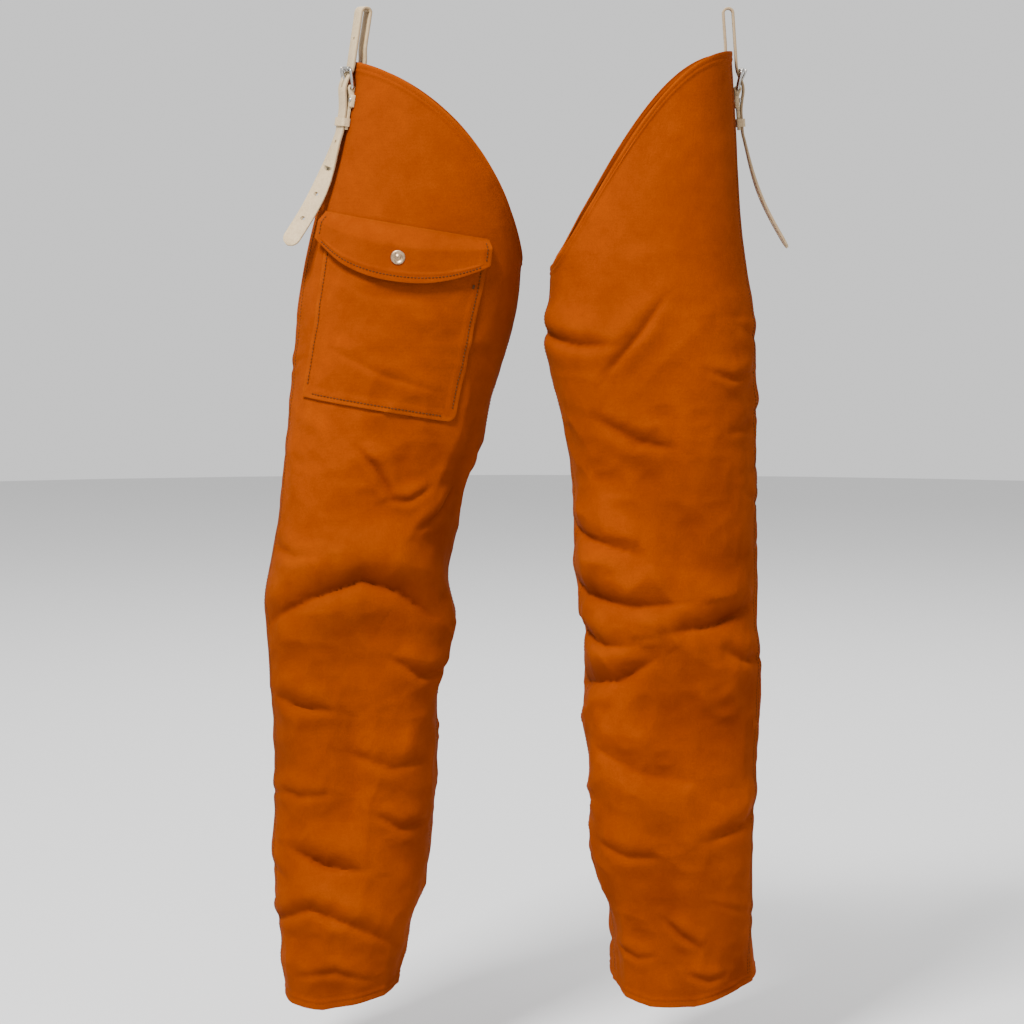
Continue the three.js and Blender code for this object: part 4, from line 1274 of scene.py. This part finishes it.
def make_buckle(name):
    place = strap_place(name)
    half = FRAME_INNER + WIRE_MIDDLE
    loop = wire_loop(f"{name}_buckle_wire", place, [
        (-half, HEEL_OUT, HEEL_Z), (half, HEEL_OUT, HEEL_Z),
        (half, FREE_OUT, FREE_Z), (-half, FREE_OUT, FREE_Z),
    ], WIRE_R, 3.0)
    finish_piece(loop, NICKEL)
    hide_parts(f"{name}_buckle_frame")
    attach(loop, f"{name}_legging")

    def on_free_bar(a, b, height):
        return place(height, FREE_OUT + a, FREE_Z + b)

    tube = [(BORE, -8.6), (2.3, -8.9), (2.55, -8.6), (2.6, -8.0), (2.6, 8.0), (2.55, 8.6), (2.3, 8.9),
            (BORE, 8.6), (BORE, -8.6)]
    roller = ring_solid(f"{name}_roller_tube", tube, on_free_bar)
    finish_piece(roller, NICKEL)
    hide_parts(f"{name}_buckle_roller")
    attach(roller, f"{name}_buckle_roller")

    dy, dz = FREE_OUT - HEEL_OUT, FREE_Z - HEEL_Z
    apart = math.hypot(dy, dz)
    lean = math.atan2(dy, dz) + math.asin((2.6 + 1.1 + 0.3) / apart)
    sections = []
    for t in np.linspace(0, 1, 26):
        along = 1.6 + t * (apart + 3 - 1.6)
        arch = 0.5 * math.sin(math.pi * t)
        y = HEEL_OUT + along * math.sin(lean) + arch * math.cos(lean)
        z = HEEL_Z + along * math.cos(lean) - arch * math.sin(lean)
        wide = 1.5 * (1 - 0.35 * smoothstep(0.75, 1.0, t)) * (0.55 if t > 0.99 else 1)
        thin = 1.15 * (0.5 if t > 0.99 else 1)
        ring = []
        for k in range(14):
            turn = 2 * math.pi * k / 14
            c, s = math.cos(turn), math.sin(turn)
            off = thin * s
            ring.append(place(wide * c, y + off * math.cos(lean), z - off * math.sin(lean)))
        sections.append(ring)
    tongue = swept(f"{name}_tongue_prong", sections)
    eye = [(BORE, -1.5), (3.1, -1.5), (3.3, -1.2), (3.3, 1.2), (3.1, 1.5), (BORE, 1.5), (BORE, -1.5)]
    ring = ring_solid("tool_eye", eye, lambda a, b, h: place(h, HEEL_OUT + a, HEEL_Z + b))
    join_into(tongue, [ring])
    finish_piece(tongue, NICKEL)
    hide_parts(f"{name}_buckle_tongue")
    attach(tongue, f"{name}_buckle_tongue")


def ring_solid(name, profile, place, sides=28):
    """A closed ring from a closed profile of radius and height."""
    mesh = bmesh.new()
    rings = []
    for k in range(sides):
        turn = 2 * math.pi * k / sides
        c, s = math.cos(turn), math.sin(turn)
        rings.append([mesh.verts.new(place(r * c, r * s, h)) for r, h in profile[:-1]])
    count = len(profile) - 1
    for k in range(sides):
        a, b = rings[k], rings[(k + 1) % sides]
        for j in range(count):
            mesh.faces.new([a[j], a[(j + 1) % count], b[(j + 1) % count], b[j]])
    return from_bmesh(name, mesh)


def make_keeper(name):
    place = strap_place(name)
    half, back, front = 11.4, 0.5, OVER_CHAPE + 1.2 + 0.5 + 1.5
    mid_y, deep = (back + front) / 2, (front - back) / 2
    rings = []
    for k in range(40):
        turn = 2 * math.pi * k / 40
        c, s = math.cos(turn), math.sin(turn)
        p = 6
        r = (abs(c) ** p + abs(s) ** p) ** (-1 / p)
        ring = []
        for t, h in ((-0.75, -3.6), (-0.45, -4.0), (0.0, -4.0), (0.0, 4.0), (-0.45, 4.0), (-0.75, 3.6),
                     (-1.5, 3.7), (-1.5, -3.7)):
            x = (half + t) * r * c
            y = mid_y + (deep + t) * r * s
            ring.append(place(x, y, KEEPER_Z + h))
        rings.append(ring)
    keeper = swept(f"{name}_keeper_leather", rings, closed=True)
    finish_piece(keeper, LEATHER_MATERIAL)
    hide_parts(f"{name}_strap_keeper")
    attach(keeper, f"{name}_strap_keeper")


def make_rivets(name):
    place = strap_place(name)
    for side, x in (("front", -RIVET_OUT), ("rear", RIVET_OUT)):
        profile = [(0, 5.1), (2.2, 5.15), (2.45, 5.5), (2.2, 6.1), (1.3, 6.6), (0, 6.75)]
        head = turned(f"{name}_rivet_head_{side}", profile,
                      lambda a, b, h, x=x: place(x + a, h, RIVET_Z + b), 24)
        shank = turned("tool_shank", [(0, -9.6), (1.3, -9.5), (1.3, 5.3), (0, 5.4)],
                       lambda a, b, h, x=x: place(x + a, h, RIVET_Z + b), 16)
        join_into(head, [shank])
        finish_piece(head, NICKEL)
        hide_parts(f"{name}_rivet_{side}")
        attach(head, f"{name}_legging")
        paint_node(f"{name}_burr_{side}", NICKEL)


for leg_name in LEGS:
    make_legging(leg_name)
    make_strap(leg_name)
    make_chape(leg_name)
    make_buckle(leg_name)
    make_keeper(leg_name)
    make_rivets(leg_name)
make_pocket()
make_snap()


# ---- Light and camera ------------------------------------------------------------------------
def area_light(name, place, aim, size, power):
    light = bpy.data.lights.new(name, "AREA")
    light.shape = "RECTANGLE"
    light.size, light.size_y = size
    light.energy = power
    obj = bpy.data.objects.new(name, light)
    obj.location = place
    obj.rotation_euler = (Vector(aim) - Vector(place)).to_track_quat("-Z", "Y").to_euler()
    bpy.context.scene.collection.objects.link(obj)


def make_floor():
    """A plain pale disc under the boots that the leggings would hang over."""
    mesh = bpy.data.meshes.new("floor")
    bm = bmesh.new()
    bmesh.ops.create_circle(bm, cap_ends=True, segments=96, radius=FLOOR_RADIUS)
    bm.to_mesh(mesh)
    bm.free()
    obj = bpy.data.objects.new("floor", mesh)
    obj.location.z = MM * (HEM_Z - HEM_HEIGHT)
    material = bpy.data.materials.new("pale_floor")
    material.use_nodes = True
    shader = material.node_tree.nodes["Principled BSDF"]
    shader.inputs["Base Color"].default_value = (0.6, 0.6, 0.6, 1)
    shader.inputs["Roughness"].default_value = 0.9
    mesh.materials.append(material)
    bpy.context.scene.collection.objects.link(obj)


def make_lights():
    aim = (-0.05, 0, -0.6)
    area_light("key", (-1.2, -2.0, 2.4), aim, (0.8, 0.8), 310)
    area_light("fill", (2.2, -2.8, 0.6), aim, (1.4, 1.4), 14)
    area_light("back", (0.4, 2.6, 1.9), aim, (1.6, 1.2), 110)
    world = bpy.data.worlds.new("studio")
    world.use_nodes = True
    background = world.node_tree.nodes["Background"]
    background.inputs["Color"].default_value = (1, 1, 1, 1)
    background.inputs["Strength"].default_value = 0.95
    bpy.context.scene.world = world


def make_camera():
    camera = bpy.data.cameras.new("camera")
    distance = 3.4
    view_height = 1.024
    camera.sensor_width = 36
    camera.lens = camera.sensor_width * distance / view_height
    camera.clip_end = 50
    obj = bpy.data.objects.new("camera", camera)
    aim = Vector((-0.029, 0, -0.476))
    lift = 0.376
    back = math.sqrt(distance**2 - lift**2)
    obj.location = aim + Vector((0, -back, lift))
    obj.rotation_euler = (aim - obj.location).to_track_quat("-Z", "Y").to_euler()
    bpy.context.scene.collection.objects.link(obj)
    bpy.context.scene.camera = obj


make_floor()
make_lights()
make_camera()
